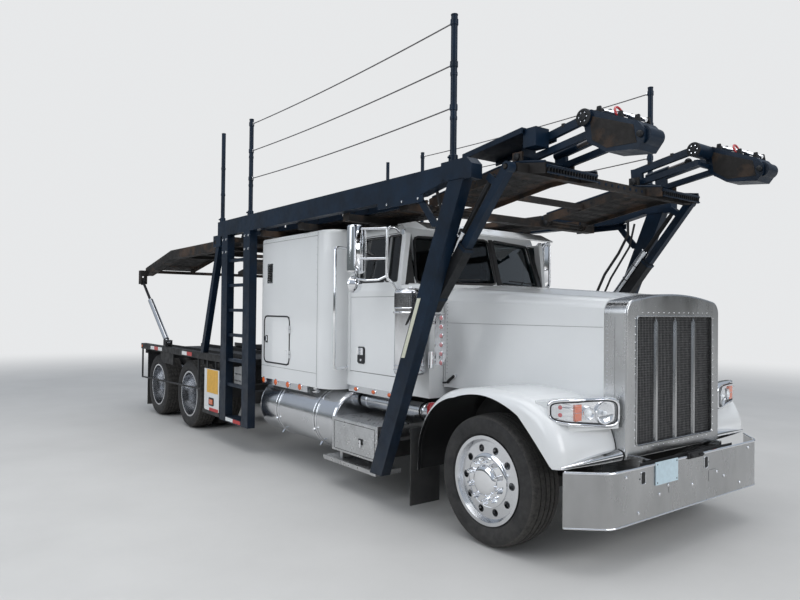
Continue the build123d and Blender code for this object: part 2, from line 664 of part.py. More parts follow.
def pane_outline(s, depth, edge):
    """Outline of one windscreen pane at a depth below the cab's skin, upright beside the middle pillar."""
    plane = screen_plane(s).offset(-depth)
    up = 1 if plane.y_dir.Z > 0 else -1
    lean = -up * s * plane.y_dir.X / abs(plane.x_dir.X)
    low = SCREEN_LOW + edge
    high = SCREEN_HIGH - edge
    inner = SCREEN_MARGIN + edge
    with BuildSketch(plane) as outline:
        Polygon((inner + lean * low, up * low), (SCREEN_HALF - edge, up * low),
                (SCREEN_HALF - 20 - edge, up * high), (inner + lean * high, up * high), align=None)
    return outline.sketch


def door_box(y, z):
    """Solid over the door side of the cab between y and z limits, on both sides."""
    with BuildPart() as boxes:
        for s in (-1, 1):
            block((s * (CAB_ROOF_HALF - 120), s * (CAB_HALF + 50)), y, z)
    return boxes.part


def hinge_carrier(s, skin, edge, z):
    """Fixed half of an outside hinge: a lug on the skin, with the pin, ahead of a door's front edge."""
    block((s * skin, s * (skin + HINGE_OUT + 11)), (edge - HINGE_AHEAD - 18, edge - GAP - 1), (z - 45, z - 8))
    bar(at(s * (skin + HINGE_OUT), edge - HINGE_AHEAD, z - 45),
        at(s * (skin + HINGE_OUT), edge - HINGE_AHEAD, z + 35), HINGE_PIN_R)


def hinge_knuckle(s, skin, edge, z):
    """Moving half of an outside hinge: a strap on the door with the bore for the pin."""
    block((s * (skin + GAP + 1), s * (skin + HINGE_OUT + 11)), (edge - HINGE_AHEAD - 12, edge + 50),
          (z - 5, z + 30))
    block((s * (skin - 2), s * (skin + GAP + 2)), (edge + 8, edge + 50), (z - 5, z + 30))
    bar(at(s * (skin + HINGE_OUT), edge - HINGE_AHEAD, z - 50),
        at(s * (skin + HINGE_OUT), edge - HINGE_AHEAD, z + 50), HINGE_PIN_R + PIN_GAP, mode=Mode.SUBTRACT)


with BuildPart() as cab_room:
    add(cab_tube(CAB_WALL, CAB_FRONT + CAB_WALL, CAB_REAR + 20))
    add(ahead_of_screen(CAB_WALL), mode=Mode.SUBTRACT)

with BuildPart() as cab:
    add(cab_tube(0, CAB_FRONT, CAB_REAR))
    add(ahead_of_screen(0), mode=Mode.SUBTRACT)
    add(cab_room.part, mode=Mode.SUBTRACT)
    for s in (-1, 1):
        extrude(pane_outline(s, 0, 0), amount=-CAB_WALL * 2, both=True, mode=Mode.SUBTRACT)
    with BuildSketch(side(-CAB_ROOF_HALF + 60)) as brow:
        Polygon((SCREEN_FOOT + 60, CAB_ROOF_Z - 62), (SCREEN_FOOT + 68, CAB_ROOF_Z - 74),
                (SCREEN_FOOT + 480, CAB_ROOF_Z - 6), (SCREEN_FOOT + 480, CAB_ROOF_Z + 14),
                (SCREEN_FOOT + 220, CAB_ROOF_Z + 14), align=None)
    extrude(brow.sketch, amount=2 * (CAB_ROOF_HALF - 60))
    add(door_box((DOOR_FRONT - GAP, DOOR_REAR + GAP), (DOOR_LOW - GAP, DOOR_HIGH + GAP)), mode=Mode.SUBTRACT)
    for s in (-1, 1):
        for z in DOOR_HINGE_Z:
            hinge_carrier(s, CAB_HALF, DOOR_FRONT, z)
finish(cab, "cab")

# Windscreen panes, set into the frame
GLASS_T = 6
GLASS_DEPTH = 20
with BuildPart() as windscreen:
    for s in (-1, 1):
        extrude(pane_outline(s, GLASS_DEPTH, SEAT), amount=-GLASS_T)
finish(windscreen, "windscreen")

# Doors: cut from the same skin as the cab, with their windows open
WINDOW = (1330, 1950, 1890, 2290)
WINDOW_BAR = (1490, 1520)
for name, s in RIGHT_LEFT:
    with BuildPart() as door:
        add(cab_tube(0, DOOR_FRONT, DOOR_REAR))
        add(cab_tube(CAB_WALL, DOOR_FRONT - 10, DOOR_REAR + 10), mode=Mode.SUBTRACT)
        block((-s * 2000, s * (CAB_ROOF_HALF - 120)), (0, 3000), (0, 4000), mode=Mode.SUBTRACT)
        block((-2000, 2000), (0, 3000), (0, DOOR_LOW), mode=Mode.SUBTRACT)
        block((-2000, 2000), (0, 3000), (DOOR_HIGH, 4000), mode=Mode.SUBTRACT)
        for y in ((WINDOW[0], WINDOW_BAR[0]), (WINDOW_BAR[1], WINDOW[1])):
            block((s * (CAB_ROOF_HALF - 200), s * (CAB_HALF + 50)), y, WINDOW[2:], mode=Mode.SUBTRACT)
        for z in DOOR_HINGE_Z:
            hinge_knuckle(s, CAB_HALF, DOOR_FRONT, z)
    finish(door, f"door_{name}")
    with BuildPart() as glass:
        add(cab_tube(CAB_WALL / 2, WINDOW[0] + SEAT, WINDOW[1] - SEAT))
        add(cab_tube(CAB_WALL / 2 + GLASS_T, WINDOW[0] - 10, WINDOW[1] + 10), mode=Mode.SUBTRACT)
        block((-s * 2000, s * (CAB_ROOF_HALF - 200)), (0, 3000), (0, 4000), mode=Mode.SUBTRACT)
        block((-2000, 2000), (0, 3000), (0, WINDOW[2] + SEAT), mode=Mode.SUBTRACT)
        block((-2000, 2000), (0, 3000), (WINDOW[3] - SEAT, 4000), mode=Mode.SUBTRACT)
        block((-2000, 2000), (WINDOW_BAR[0] - SEAT, WINDOW_BAR[1] + SEAT), (0, 4000), mode=Mode.SUBTRACT)
    finish(glass, f"door_glass_{name}")

# Inside of the cab: dashboard, seats and steering wheel
COLUMN_FOOT = at(450, 1120, 1560)
COLUMN_HEAD = at(450, 1370, 1665)
SEAT_BASE = CAB_FLOOR_Z + CAB_WALL + SEAT
with BuildPart() as interior:
    with BuildSketch(side(-CAB_HALF + CAB_WALL + SEAT)) as dash:
        Polygon((CAB_FRONT + CAB_WALL + SEAT, 1350), (CAB_FRONT + CAB_WALL + SEAT, 1790), (1000, 1800),
                (1150, 1760), (1160, 1560), (1080, 1350), align=None)
    extrude(dash.sketch, amount=2 * (CAB_HALF - CAB_WALL - SEAT))
    bar(COLUMN_FOOT, COLUMN_HEAD, 22)
    for s in (-1, 1):
        block((s * 230, s * 730), (1520, 1990), (1300, 1430))
        block((s * 230, s * 730), (1910, 2040), (1430, 2080))
        block((s * 310, s * 650), (1580, 1930), (SEAT_BASE, 1300))
finish(interior, "interior")

WHEEL_AXIS = (COLUMN_HEAD - COLUMN_FOOT).normalized()
with BuildPart() as steering_wheel:
    centre = COLUMN_HEAD + WHEEL_AXIS * (18 + SEAT)
    ring_plane = Plane(origin=centre, x_dir=(1, 0, 0), z_dir=WHEEL_AXIS)
    with BuildSketch(Plane(origin=centre, x_dir=(1, 0, 0), z_dir=ring_plane.y_dir)) as ring:
        with Locations((215, 0)):
            Circle(15)
    revolve(ring.sketch, axis=Axis(centre, WHEEL_AXIS), revolution_arc=360)
    bar(centre - WHEEL_AXIS * 18, centre + WHEEL_AXIS * 12, 45)
    for turn in (90, 210, 330):
        arm = ring_plane.x_dir * cos(radians(turn)) + ring_plane.y_dir * sin(radians(turn))
        bar(centre, centre + arm * 212, 11)
finish(steering_wheel, "steering_wheel")


# Sleeper: a wide hollow box that steps out behind the cab
def sleeper_plan(inset, z, height):
    """Sleeper body, shrunk by inset, from height z."""
    wide = SLEEPER_HALF - inset
    narrow = CAB_HALF - inset
    with BuildPart() as body:
        with BuildSketch(top(z)):
            with BuildLine():
                Line((-narrow, CAB_REAR), (narrow, CAB_REAR))
                ThreePointArc((narrow, CAB_REAR), (wide - 45, CAB_REAR + 80), (wide, SLEEPER_FULL))
                Line((wide, SLEEPER_FULL), (wide, SLEEPER_REAR - inset))
                Line((wide, SLEEPER_REAR - inset), (-wide, SLEEPER_REAR - inset))
                Line((-wide, SLEEPER_REAR - inset), (-wide, SLEEPER_FULL))
                ThreePointArc((-wide, SLEEPER_FULL), (-wide + 45, CAB_REAR + 80), (-narrow, CAB_REAR))
            make_face()
        extrude(amount=height)
    return body.part


with BuildPart() as sleeper:
    add(sleeper_plan(0, SLEEPER_LOW, SLEEPER_ROOF - SLEEPER_LOW))
    fillet(sleeper.edges().filter_by(Axis.Z).sort_by(Axis.Y)[-2:], radius=60)
    fillet(sleeper.faces().sort_by(Axis.Z)[-1].outer_wire().edges().sort_by(Axis.Y)[1:], radius=35)
    floor = CAB_FLOOR_Z + SLEEPER_WALL
    add(sleeper_plan(SLEEPER_WALL, floor, SLEEPER_ROOF - floor - SLEEPER_WALL), mode=Mode.SUBTRACT)
    block((-SLEEPER_HALF + SLEEPER_WALL, SLEEPER_HALF - SLEEPER_WALL),
          (SLEEPER_FULL, SLEEPER_REAR - SLEEPER_WALL), (0, CAB_FLOOR_Z), mode=Mode.SUBTRACT)
    block((-CAB_HALF + SLEEPER_WALL, CAB_HALF - SLEEPER_WALL), (0, SLEEPER_REAR - SLEEPER_WALL),
          (0, CAB_FLOOR_Z), mode=Mode.SUBTRACT)
    block((-FRAME_HALF - 40, FRAME_HALF + 40), (0, SLEEPER_REAR + 10), (0, CAB_FLOOR_Z), mode=Mode.SUBTRACT)
    for s in (-1, 1):
        block((s * (SLEEPER_HALF - 90), s * (SLEEPER_HALF + 20)), (LOCKER[0] - GAP, LOCKER[1] + GAP),
              (LOCKER[2] - GAP, LOCKER[3] + GAP), mode=Mode.SUBTRACT)
        block((s * (SLEEPER_HALF - 90), s * (SLEEPER_HALF + 20)), VENT[:2], VENT[2:], mode=Mode.SUBTRACT)
        for z in LOCKER_HINGE_Z:
            hinge_carrier(s, SLEEPER_HALF, LOCKER[0], z)
finish(sleeper, "sleeper")

for name, s in RIGHT_LEFT:
    with BuildPart() as locker:
        block((s * (SLEEPER_HALF - SLEEPER_WALL), s * SLEEPER_HALF), LOCKER[:2], LOCKER[2:])
        fillet(locker.edges().filter_by(Axis.X), radius=55)
        for z in LOCKER_HINGE_Z:
            hinge_knuckle(s, SLEEPER_HALF, LOCKER[0], z)
    finish(locker, f"locker_door_{name}")

# Fuel tanks with straps, and the slim air tanks under the cab
AIR_TANK = (815, 770, 72, 900, 1950)
with BuildPart() as tanks:
    for s in (-1, 1):
        bar(at(s * TANK_X, TANK_ENDS[0], TANK_Z), at(s * TANK_X, TANK_ENDS[1], TANK_Z), TANK_R)
        fillet(tanks.faces().filter_by(GeomType.PLANE).filter_by(Axis.Y).edges().filter_by(GeomType.CIRCLE)
               .filter_by(lambda e: e.radius > TANK_R - 1 and e.center().X * s > 0), radius=24)
        for y in STRAPS:
            bar(at(s * TANK_X, y, TANK_Z), at(s * TANK_X, y + 55, TANK_Z), TANK_R + 5)
            block((s * (FRAME_HALF + SEAT), s * (TANK_X - 80)), (y, y + 55), (TANK_Z - 200, FRAME_TOP - 40))
        x, z, r, start, end = AIR_TANK
        bar(at(s * x, start, z), at(s * x, end, z), r)
        block((s * (FRAME_HALF + SEAT), s * x), (1300, 1350), (z - 30, z + 30))
finish(tanks, "tanks")

# Tread-plate boxes ahead of the tanks, each with a low step
BOX_X = 1185
BOX_Y = (1250, TANK_ENDS[0] - SEAT)
BOX_Z = (340, 640)
with BuildPart() as step_boxes:
    for s in (-1, 1):
        with BuildSketch(front(BOX_Y[0])) as section:
            Polygon((s * (FRAME_HALF + 170), BOX_Z[1]), (s * BOX_X, BOX_Z[1]), (s * BOX_X, BOX_Z[0]),
                    (s * (BOX_X - 35), BOX_Z[0]), (s * (FRAME_HALF + 170), BOX_Z[1] - 90), align=None)
        extrude(section.sketch, amount=BOX_Y[0] - BOX_Y[1])
        block((s * (BOX_X - 250), s * (BOX_X + 15)), (BOX_Y[0], BOX_Y[1] + 130),
              (BOX_Z[0] - 112, BOX_Z[0] - 74))
        for y in (BOX_Y[0] + 60, BOX_Y[1] - 120):
            block((s * (BOX_X - 200), s * (BOX_X - 40)), (y, y + 40), (BOX_Z[0] - 80, BOX_Z[0] + 75))
        block((s * (FRAME_HALF + SEAT), s * (FRAME_HALF + 180)), (BOX_Y[0] + 100, BOX_Y[1] - 100),
              (BOX_Z[1] - 80, BOX_Z[1]))
        block((s * (FRAME_HALF + SEAT), s * (FRAME_HALF + 30)), (BOX_Y[0] + 100, BOX_Y[1] - 100),
              (BOX_Z[1] - 120, FRAME_LOW + 60))
finish(step_boxes, "step_boxes")

# Air cleaners on the sides of the cowl
CLEANER = (1086, 945, 130, 1105, 1800)
with BuildPart() as air_cleaners:
    x, y, r, low, high = CLEANER
    for s in (-1, 1):
        bar(at(s * x, y, low), at(s * x, y, high), r)
        fillet(air_cleaners.edges().filter_by(GeomType.CIRCLE).filter_by(lambda e: e.center().X * s > 0),
               radius=28)
        for z in (low + 120, high - 160):
            block((s * (CAB_HALF + SEAT), s * x), (y - 40, y + 40), (z, z + 50))
finish(air_cleaners, "air_cleaners")


def cab_half_at(z):
    """Half width of the cab's skin at a height above the belt line."""
    return CAB_HALF - (CAB_HALF - CAB_ROOF_HALF) * (z - CAB_BELT_Z) / (CAB_ROOF_Z - CAB_BELT_Z)


# Door mirrors: head, round spot mirror and tube bracket
MIRROR = (1205, 1540, 1960, 2370)
for name, s in RIGHT_LEFT:
    with BuildPart() as mirror_part:
        x, y, low, high = MIRROR
        block((s * (x - 95), s * (x + 95)), (y - 45, y + 15), (low, high))
        fillet(mirror_part.edges().filter_by(Axis.Z), radius=22)
        bar(at(s * x, y - 30, low - 95), at(s * x, y + 10, low - 95), 72)
        for z in (low + 60, high - 90):
            skin = cab_half_at(z - 25) + SEAT
            block((s * skin, s * (skin + 16)), (DOOR_FRONT + 30, DOOR_FRONT + 80), (z - 25, z + 25))
            bar(at(s * x, y - 15, z), at(s * (skin + 8), DOOR_FRONT + 55, z), 12)
        bar(at(s * x, y - 15, low - 95), at(s * x, y - 15, low + 10), 10)
    finish(mirror_part, f"mirror_{name}")

# Rack rails, level over the cab on both sides, with a pole socket and a tapered underside at the front
RACK_X = RACK_HALF - RACK_T / 2
SOCKET_OUT = 7
PANEL = (540, 1130, 2450)
PANEL_T = 10
with BuildPart() as rack_rails:
    for s in (-1, 1):
        with BuildSketch(side(RACK_HALF - RACK_T if s > 0 else -RACK_HALF)) as rail:
            Polygon((RAIL_FRONT, RAIL_NOSE_LOW), (300, RAIL_NOSE_LOW), (590, RAIL_LOW), (RAIL_REAR, RAIL_LOW),
                    (RAIL_REAR, RAIL_HIGH), (60, RAIL_HIGH), (RAIL_FRONT, RAIL_HIGH - 30), align=None)
        extrude(rail.sketch, amount=RACK_T)
        with BuildSketch(side(RACK_HALF - RACK_T - SOCKET_OUT if s > 0 else -RACK_HALF - SOCKET_OUT)) as socket:
            Polygon((10, RAIL_NOSE_LOW - 10), (10, 2650), (60, SOCKET_TOP), (330, SOCKET_TOP), (330, 2575),
                    (300, RAIL_NOSE_LOW + 15), (260, RAIL_NOSE_LOW + SEAT), (96, RAIL_NOSE_LOW + SEAT),
                    (80, RAIL_NOSE_LOW - 10), align=None)
        extrude(socket.sketch, amount=RACK_T + 2 * SOCKET_OUT)
        block((s * (RACK_HALF - PANEL_T), s * RACK_HALF), PANEL[:2], (PANEL[2], RAIL_LOW + 2))
        block((s * (RACK_HALF - RACK_T), s * RACK_HALF), (RAIL_REAR - 90, TAIL_HINGE[0] + 60),
              (TAIL_HINGE[1] - 60, TAIL_HINGE[1] + 80))
        bar(at(s * (RACK_HALF - RACK_T - 10), *TAIL_HINGE), at(s * (RACK_HALF + 10), *TAIL_HINGE),
            TAIL_HINGE_R + PIN_GAP, mode=Mode.SUBTRACT)
finish(rack_rails, "rack_rails")

# Rack posts: slanted front legs, two columns a side, rear braces, and the poles that hold the safety wires
POLES = ((256, SOCKET_TOP), (3680, RAIL_HIGH), (4480, RAIL_HIGH))
BRACE_HALF = 45
BRACE = ((TAIL_HINGE[0] - 54, TAIL_HINGE[1] - 60 - SEAT), (5020, LOW_RAIL_TOP + SEAT))
with BuildPart() as rack_posts:
    for s in (-1, 1):
        inner_x = RACK_HALF - RACK_T if s > 0 else -RACK_HALF
        with BuildSketch(side(inner_x)) as leg:
            half = LEG_W / 2 * 1.08
            Polygon((LEG_FOOT[0] - half, LEG_FOOT[1]), (LEG_FOOT[0] + half, LEG_FOOT[1]),
                    (LEG_HEAD[0] + half, LEG_HEAD[1] - SEAT), (LEG_HEAD[0] - half, LEG_HEAD[1] - SEAT),
                    align=None)
        extrude(leg.sketch, amount=RACK_T)
        with BuildSketch(side(s * (RACK_X + 20) - 8)) as gusset:
            Polygon((592, RAIL_LOW - SEAT), (656, RAIL_LOW - SEAT), (452, 2250), (370, 2250), align=None)
        extrude(gusset.sketch, amount=16)
        block((s * (RACK_HALF - RACK_T), s * RACK_HALF), (LEG_PIVOT[0] - 55, LEG_PIVOT[0] + 60),
              (LEG_PIVOT[1] - 55, LEG_PIVOT[1] + 55))
        bar(at(s * (LEG_X - 52), *LEG_PIVOT), at(s * (RACK_HALF - RACK_T + 5), *LEG_PIVOT), PIVOT_R)
        for y in COLUMNS:
            block((s * (RACK_HALF - RACK_T), s * RACK_HALF), (y - COLUMN_W / 2, y + COLUMN_W / 2),
                  (POST_FOOT, RAIL_LOW - SEAT))
        with BuildSketch(side(inner_x + 10)) as brace:
            Polygon((BRACE[0][0] - BRACE_HALF, BRACE[0][1]), (BRACE[0][0] + BRACE_HALF, BRACE[0][1]),
                    (BRACE[1][0] + BRACE_HALF, BRACE[1][1]), (BRACE[1][0] - BRACE_HALF, BRACE[1][1]),
                    align=None)
        extrude(brace.sketch, amount=RACK_T - 20)
        for y, foot in POLES:
            bar(at(s * RACK_X, y, foot + SEAT), at(s * RACK_X, y, POLE_TOP), POLE_R)
finish(rack_posts, "rack_posts")

# Ladder rungs and the foot tray between the columns
RUNGS = 6
RUNG_LOW = 727
RUNG_PITCH = 293
with BuildPart() as ladder_rungs:
    for s in (-1, 1):
        for n in range(RUNGS):
            z = RUNG_LOW + n * RUNG_PITCH
            block((s * (RACK_X - 22), s * (RACK_X + 22)),
                  (COLUMNS[0] + COLUMN_W / 2 + SEAT, COLUMNS[1] - COLUMN_W / 2 - SEAT), (z - 18, z + 18))
        block((s * (RACK_HALF - RACK_T - 60), s * RACK_HALF),
              (COLUMNS[0] + COLUMN_W / 2 + SEAT, COLUMNS[1] - COLUMN_W / 2 - SEAT), (POST_FOOT, POST_FOOT + 60))
finish(ladder_rungs, "ladder_rungs")

# Over-cab deck: two perforated wheel tracks on cross beams
CROSS_BEAMS = (900, 1750, 2600, 3450, 4330)
BEAM_HALF = 50
TRACK_FRONT = CROSS_BEAMS[0] - 30
TRACK_Z = CROSS_LOW + CROSS_H
BEAM_PLATE_T = 14
BEAM_END = RACK_HALF - RACK_T - BEAM_PLATE_T - 2 * SEAT
LUG_T = 20
LUG_X = (TRACK_IN + 60, TRACK_IN + TRACK_W - 60)
with BuildPart() as upper_deck:
    for y in CROSS_BEAMS:
        block((-BEAM_END, BEAM_END), (y - BEAM_HALF, y + BEAM_HALF), (CROSS_LOW, TRACK_Z - SEAT))
        for s in (-1, 1):
            block((s * (BEAM_END + SEAT), s * (RACK_HALF - RACK_T - SEAT)), (y - BEAM_HALF, y + BEAM_HALF),
                  (CROSS_LOW, RAIL_LOW + 60))
    for s in (-1, 1):
        edges = (s * TRACK_IN, s * (TRACK_IN + TRACK_W))
        block(edges, (TRACK_FRONT, RAIL_REAR), (TRACK_Z, TRACK_Z + 12))
        for x in edges:
            block((x - 8, x + 8), (TRACK_FRONT, RAIL_REAR), (TRACK_Z, TRACK_Z + TRACK_T))
        for x in LUG_X:
            block((s * x - LUG_T / 2, s * x + LUG_T / 2),
                  (PLATFORM_HINGE[0] - 22, CROSS_BEAMS[0] - BEAM_HALF + 2),
                  (PLATFORM_HINGE[1] - 22, PLATFORM_HINGE[1] + 22))
        bar(at(s * (TRACK_IN + 40), *PLATFORM_HINGE), at(s * (TRACK_IN + TRACK_W - 40), *PLATFORM_HINGE),
            HINGE_R + PIN_GAP, mode=Mode.SUBTRACT)
finish(upper_deck, "upper_deck")

# Front platform: wheel tracks that tilt on a hinge ahead of the over-cab deck, with a cross member at the legs
PLATFORM_LINE = ((838, 2538), (60, 2664), (-110, 2674), (-370, 2636))
PLATE_DROP = 30
PLATE_T = 12
FLANGE_DEPTH = 75
FLANGE_HALF = 8
FLANGE_X = (TRACK_IN, TRACK_IN + TRACK_W)
MEMBER_HALF = 1100
MEMBER_SIZE = 30


def platform_strip(upper, lower, rear):
    """Outline of a strip below the platform's upper line, ending at a distance behind the axle."""
    (start_y, start_z), (next_y, next_z) = PLATFORM_LINE[:2]
    rear_z = start_z + (next_z - start_z) * (start_y - rear) / (start_y - next_y)
    line = [(rear, rear_z), *PLATFORM_LINE[1:]]
    return [(y, z - upper) for y, z in line] + [(y, z - lower) for y, z in reversed(line)]


with BuildPart() as front_platform:
    for s in (-1, 1):
        with BuildSketch(side(FLANGE_X[0] if s > 0 else -FLANGE_X[1])) as plate:
            Polygon(*platform_strip(PLATE_DROP, PLATE_DROP + PLATE_T, PLATFORM_HINGE[0] - 30), align=None)
        extrude(plate.sketch, amount=TRACK_W)
        for x in FLANGE_X:
            with BuildSketch(side(s * x - FLANGE_HALF)) as flange:
                Polygon(*platform_strip(0, FLANGE_DEPTH, PLATFORM_LINE[0][0]), align=None)
            extrude(flange.sketch, amount=2 * FLANGE_HALF)
            bar(at(s * x - FLANGE_HALF, *PLATFORM_HINGE), at(s * x + FLANGE_HALF, *PLATFORM_HINGE),
                HINGE_R + 12)
            block((s * x - FLANGE_HALF, s * x + FLANGE_HALF), (ARM_PIVOT[0] - 45, ARM_PIVOT[0] + 45),
                  (ARM_PIVOT[1] - 72, ARM_PIVOT[1] + 33))
        bar(at(s * FLANGE_X[0], *PLATFORM_HINGE), at(s * FLANGE_X[1], *PLATFORM_HINGE), HINGE_R)
        bar(at(s * (MEMBER_HALF - 10), *LEG_EYE), at(s * (LEG_X + 42), *LEG_EYE), EYE_PIN_R)
        bar(at(s * (FLANGE_X[0] - 20), *ARM_PIVOT), at(s * (FLANGE_X[1] + 20), *ARM_PIVOT),
            ARM_PIN_R + PIN_GAP, mode=Mode.SUBTRACT)
    block((-MEMBER_HALF, MEMBER_HALF), (LEG_EYE[0] - MEMBER_SIZE, LEG_EYE[0] + MEMBER_SIZE),
          (LEG_EYE[1] - 25, LEG_EYE[1] + 2 * MEMBER_SIZE - 25))
    block((-FLANGE_X[0], FLANGE_X[0]), (380, 440), (2540, 2585))
finish(front_platform, "front_platform")

# Loading arms on the platform: twin bars, a cross hub and a nose with its roller
BAR_X = (490, 850)
BAR_HALF = 17
SHOE_X = (670, 870)
HUB_POINT = (-605, 2900)
HUB_DRUM_R = 56
ROLLER_R = 55
TIP_POINT = (-FRONT_REACH + ROLLER_R, 2712)
SLOT_PLATE = ((-200, 2897), (400, 2817))
SLOT_PLATE_X = (660, 1030)
SLOTS_Y = (-78, 1, 79, 146, 222, 303)
LIP_DEPTH = 40
for name, s in RIGHT_LEFT:
    with BuildPart() as arm:
        bar(at(s * (FLANGE_X[0] - FLANGE_HALF), *ARM_PIVOT), at(s * (FLANGE_X[1] + FLANGE_HALF), *ARM_PIVOT),
            ARM_PIN_R)
        for x in BAR_X:
            beam(at(s * x, -75, 2800), at(s * x, *HUB_POINT), 2 * BAR_HALF, 56)
            beam(at(s * x, *ARM_PIVOT), at(s * x, -640, 2795), 2 * BAR_HALF, 46)
            with BuildSketch(side(s * x - BAR_HALF)) as root:
                Polygon((-160, 2700), (-60, 2700), (-50, 2830), (-150, 2830), align=None)
            extrude(root.sketch, amount=2 * BAR_HALF)
            bar(at(s * x - BAR_HALF, *ARM_PIVOT), at(s * x + BAR_HALF, *ARM_PIVOT), 34)
        bar(at(s * (BAR_X[0] - BAR_HALF), *HUB_POINT), at(s * (BAR_X[1] + 40), *HUB_POINT), HUB_DRUM_R)
        bar(at(s * BAR_X[0], -615, 2791), at(s * (BAR_X[1] - 20), -615, 2791), 20)
        with BuildSketch(side(SHOE_X[0] if s > 0 else -SHOE_X[1])) as shoe:
            Polygon((-575, 2940), (-650, 2945), (-985, 2800), (-1035, 2742), (-1035, 2682), (-990, 2625),
                    (-760, 2650), (-620, 2740), align=None)
        extrude(shoe.sketch, amount=SHOE_X[1] - SHOE_X[0])
        bar(at(s * (SHOE_X[0] + 25), *TIP_POINT), at(s * (SHOE_X[1] - 25), *TIP_POINT), ROLLER_R)
        if s < 0:
            (front_y, front_z), (rear_y, rear_z) = SLOT_PLATE
            with BuildSketch(side(-SLOT_PLATE_X[1])) as plate:
                Polygon((front_y, front_z), (rear_y, rear_z), (rear_y, rear_z - PLATE_T),
                        (front_y, front_z - PLATE_T), align=None)
            extrude(plate.sketch, amount=SLOT_PLATE_X[1] - SLOT_PLATE_X[0])
            for x in (-SLOT_PLATE_X[1], -SLOT_PLATE_X[0] - PLATE_T):
                with BuildSketch(side(x)) as lip:
                    Polygon((front_y, front_z), (rear_y, rear_z), (rear_y, rear_z - LIP_DEPTH),
                            (front_y, front_z - LIP_DEPTH), align=None)
                extrude(lip.sketch, amount=PLATE_T)
            with BuildSketch(top(front_z + 50)) as slots:
                with Locations(*[(-980, y) for y in SLOTS_Y]):
                    SlotOverall(70, 34, rotation=90)
            extrude(slots.sketch, amount=-200, mode=Mode.SUBTRACT)
            block((-1000, -BAR_X[1] - BAR_HALF + 2), (front_y - 100, front_y + 15), (2760, 2890))
    finish(arm, f"loading_arm_{name}")

# Telescopic legs that hold the platform; each carries a parallel ram on ears behind it
LEG_START = Vector(0, *LEG_PIVOT)
LEG_RUN = Vector(0, *LEG_EYE) - LEG_START
LEG_LENGTH = LEG_RUN.length
LEG_ALONG = LEG_RUN.normalized()
LEG_ACROSS = Vector(0, LEG_ALONG.Z, -LEG_ALONG.Y)
SLEEVE_LENGTH = 560
SLEEVE_W = 84
SLIDE_W = 64
EAR_X = 25
EAR_T = 10


def on_leg(x, distance, behind=0):
    """Point at a distance up the leg line from its lower pivot, and behind that line."""
    point = LEG_START + LEG_ALONG * distance + LEG_ACROSS * behind
    return at(x, point.Y, point.Z)


def ram_ears(x, distance, skin):
    """Two ears on a leg that reach back to the ram, with the pin between them."""
    for ear in (x - EAR_X, x + EAR_X):
        beam(on_leg(ear, distance, skin - 6), on_leg(ear, distance, RAM_BEHIND + 24), EAR_T, 50)
    bar(on_leg(x - EAR_X, distance, RAM_BEHIND), on_leg(x + EAR_X, distance, RAM_BEHIND), RAM_PIN_R)


with BuildPart() as deck_legs:
    for s in (-1, 1):
        x = s * LEG_X
        beam(on_leg(x, 10), on_leg(x, SLEEVE_LENGTH), SLEEVE_W, SLEEVE_W)
        beam(on_leg(x, 90), on_leg(x, SLEEVE_LENGTH + 10), SLIDE_W + 2, SLIDE_W + 2, mode=Mode.SUBTRACT)
        bar(at(x - SLEEVE_W / 2, *LEG_PIVOT), at(x + SLEEVE_W / 2, *LEG_PIVOT), 44)
        bar(at(x - 60, *LEG_PIVOT), at(x + 60, *LEG_PIVOT), PIVOT_R + PIN_GAP, mode=Mode.SUBTRACT)
        ram_ears(x, RAM_FOOT, SLEEVE_W / 2)
finish(deck_legs, "deck_legs")

with BuildPart() as deck_leg_slides:
    for s in (-1, 1):
        x = s * LEG_X
        beam(on_leg(x, 150), on_leg(x, LEG_LENGTH - 12), SLIDE_W, SLIDE_W)
        bar(at(x - SLIDE_W / 2, *LEG_EYE), at(x + SLIDE_W / 2, *LEG_EYE), 38)
        bar(at(x - 60, *LEG_EYE), at(x + 60, *LEG_EYE), EYE_BORE_R, mode=Mode.SUBTRACT)
        ram_ears(x, RAM_EYE, SLIDE_W / 2)
finish(deck_leg_slides, "deck_leg_slides")

BARREL_R = 36
ROD_R = 20
BARREL = (RAM_FOOT + 40, 632)
EYE_HALF = EAR_X - EAR_T / 2 - 2
with BuildPart() as deck_rams:
    for s in (-1, 1):
        x = s * LEG_X
        bar(on_leg(x, BARREL[0], RAM_BEHIND), on_leg(x, BARREL[1], RAM_BEHIND), BARREL_R)
        bar(on_leg(x, BARREL[0] + 20, RAM_BEHIND), on_leg(x, BARREL[1] + 10, RAM_BEHIND), ROD_R + PIN_GAP,
            mode=Mode.SUBTRACT)
        bar(on_leg(x, RAM_FOOT, RAM_BEHIND), on_leg(x, BARREL[0] + 5, RAM_BEHIND), EYE_HALF)
        bar(on_leg(x - EYE_HALF, RAM_FOOT, RAM_BEHIND), on_leg(x + EYE_HALF, RAM_FOOT, RAM_BEHIND), 24)
        bar(on_leg(x - 30, RAM_FOOT, RAM_BEHIND), on_leg(x + 30, RAM_FOOT, RAM_BEHIND), RAM_PIN_R + PIN_GAP,
            mode=Mode.SUBTRACT)
finish(deck_rams, "deck_rams")

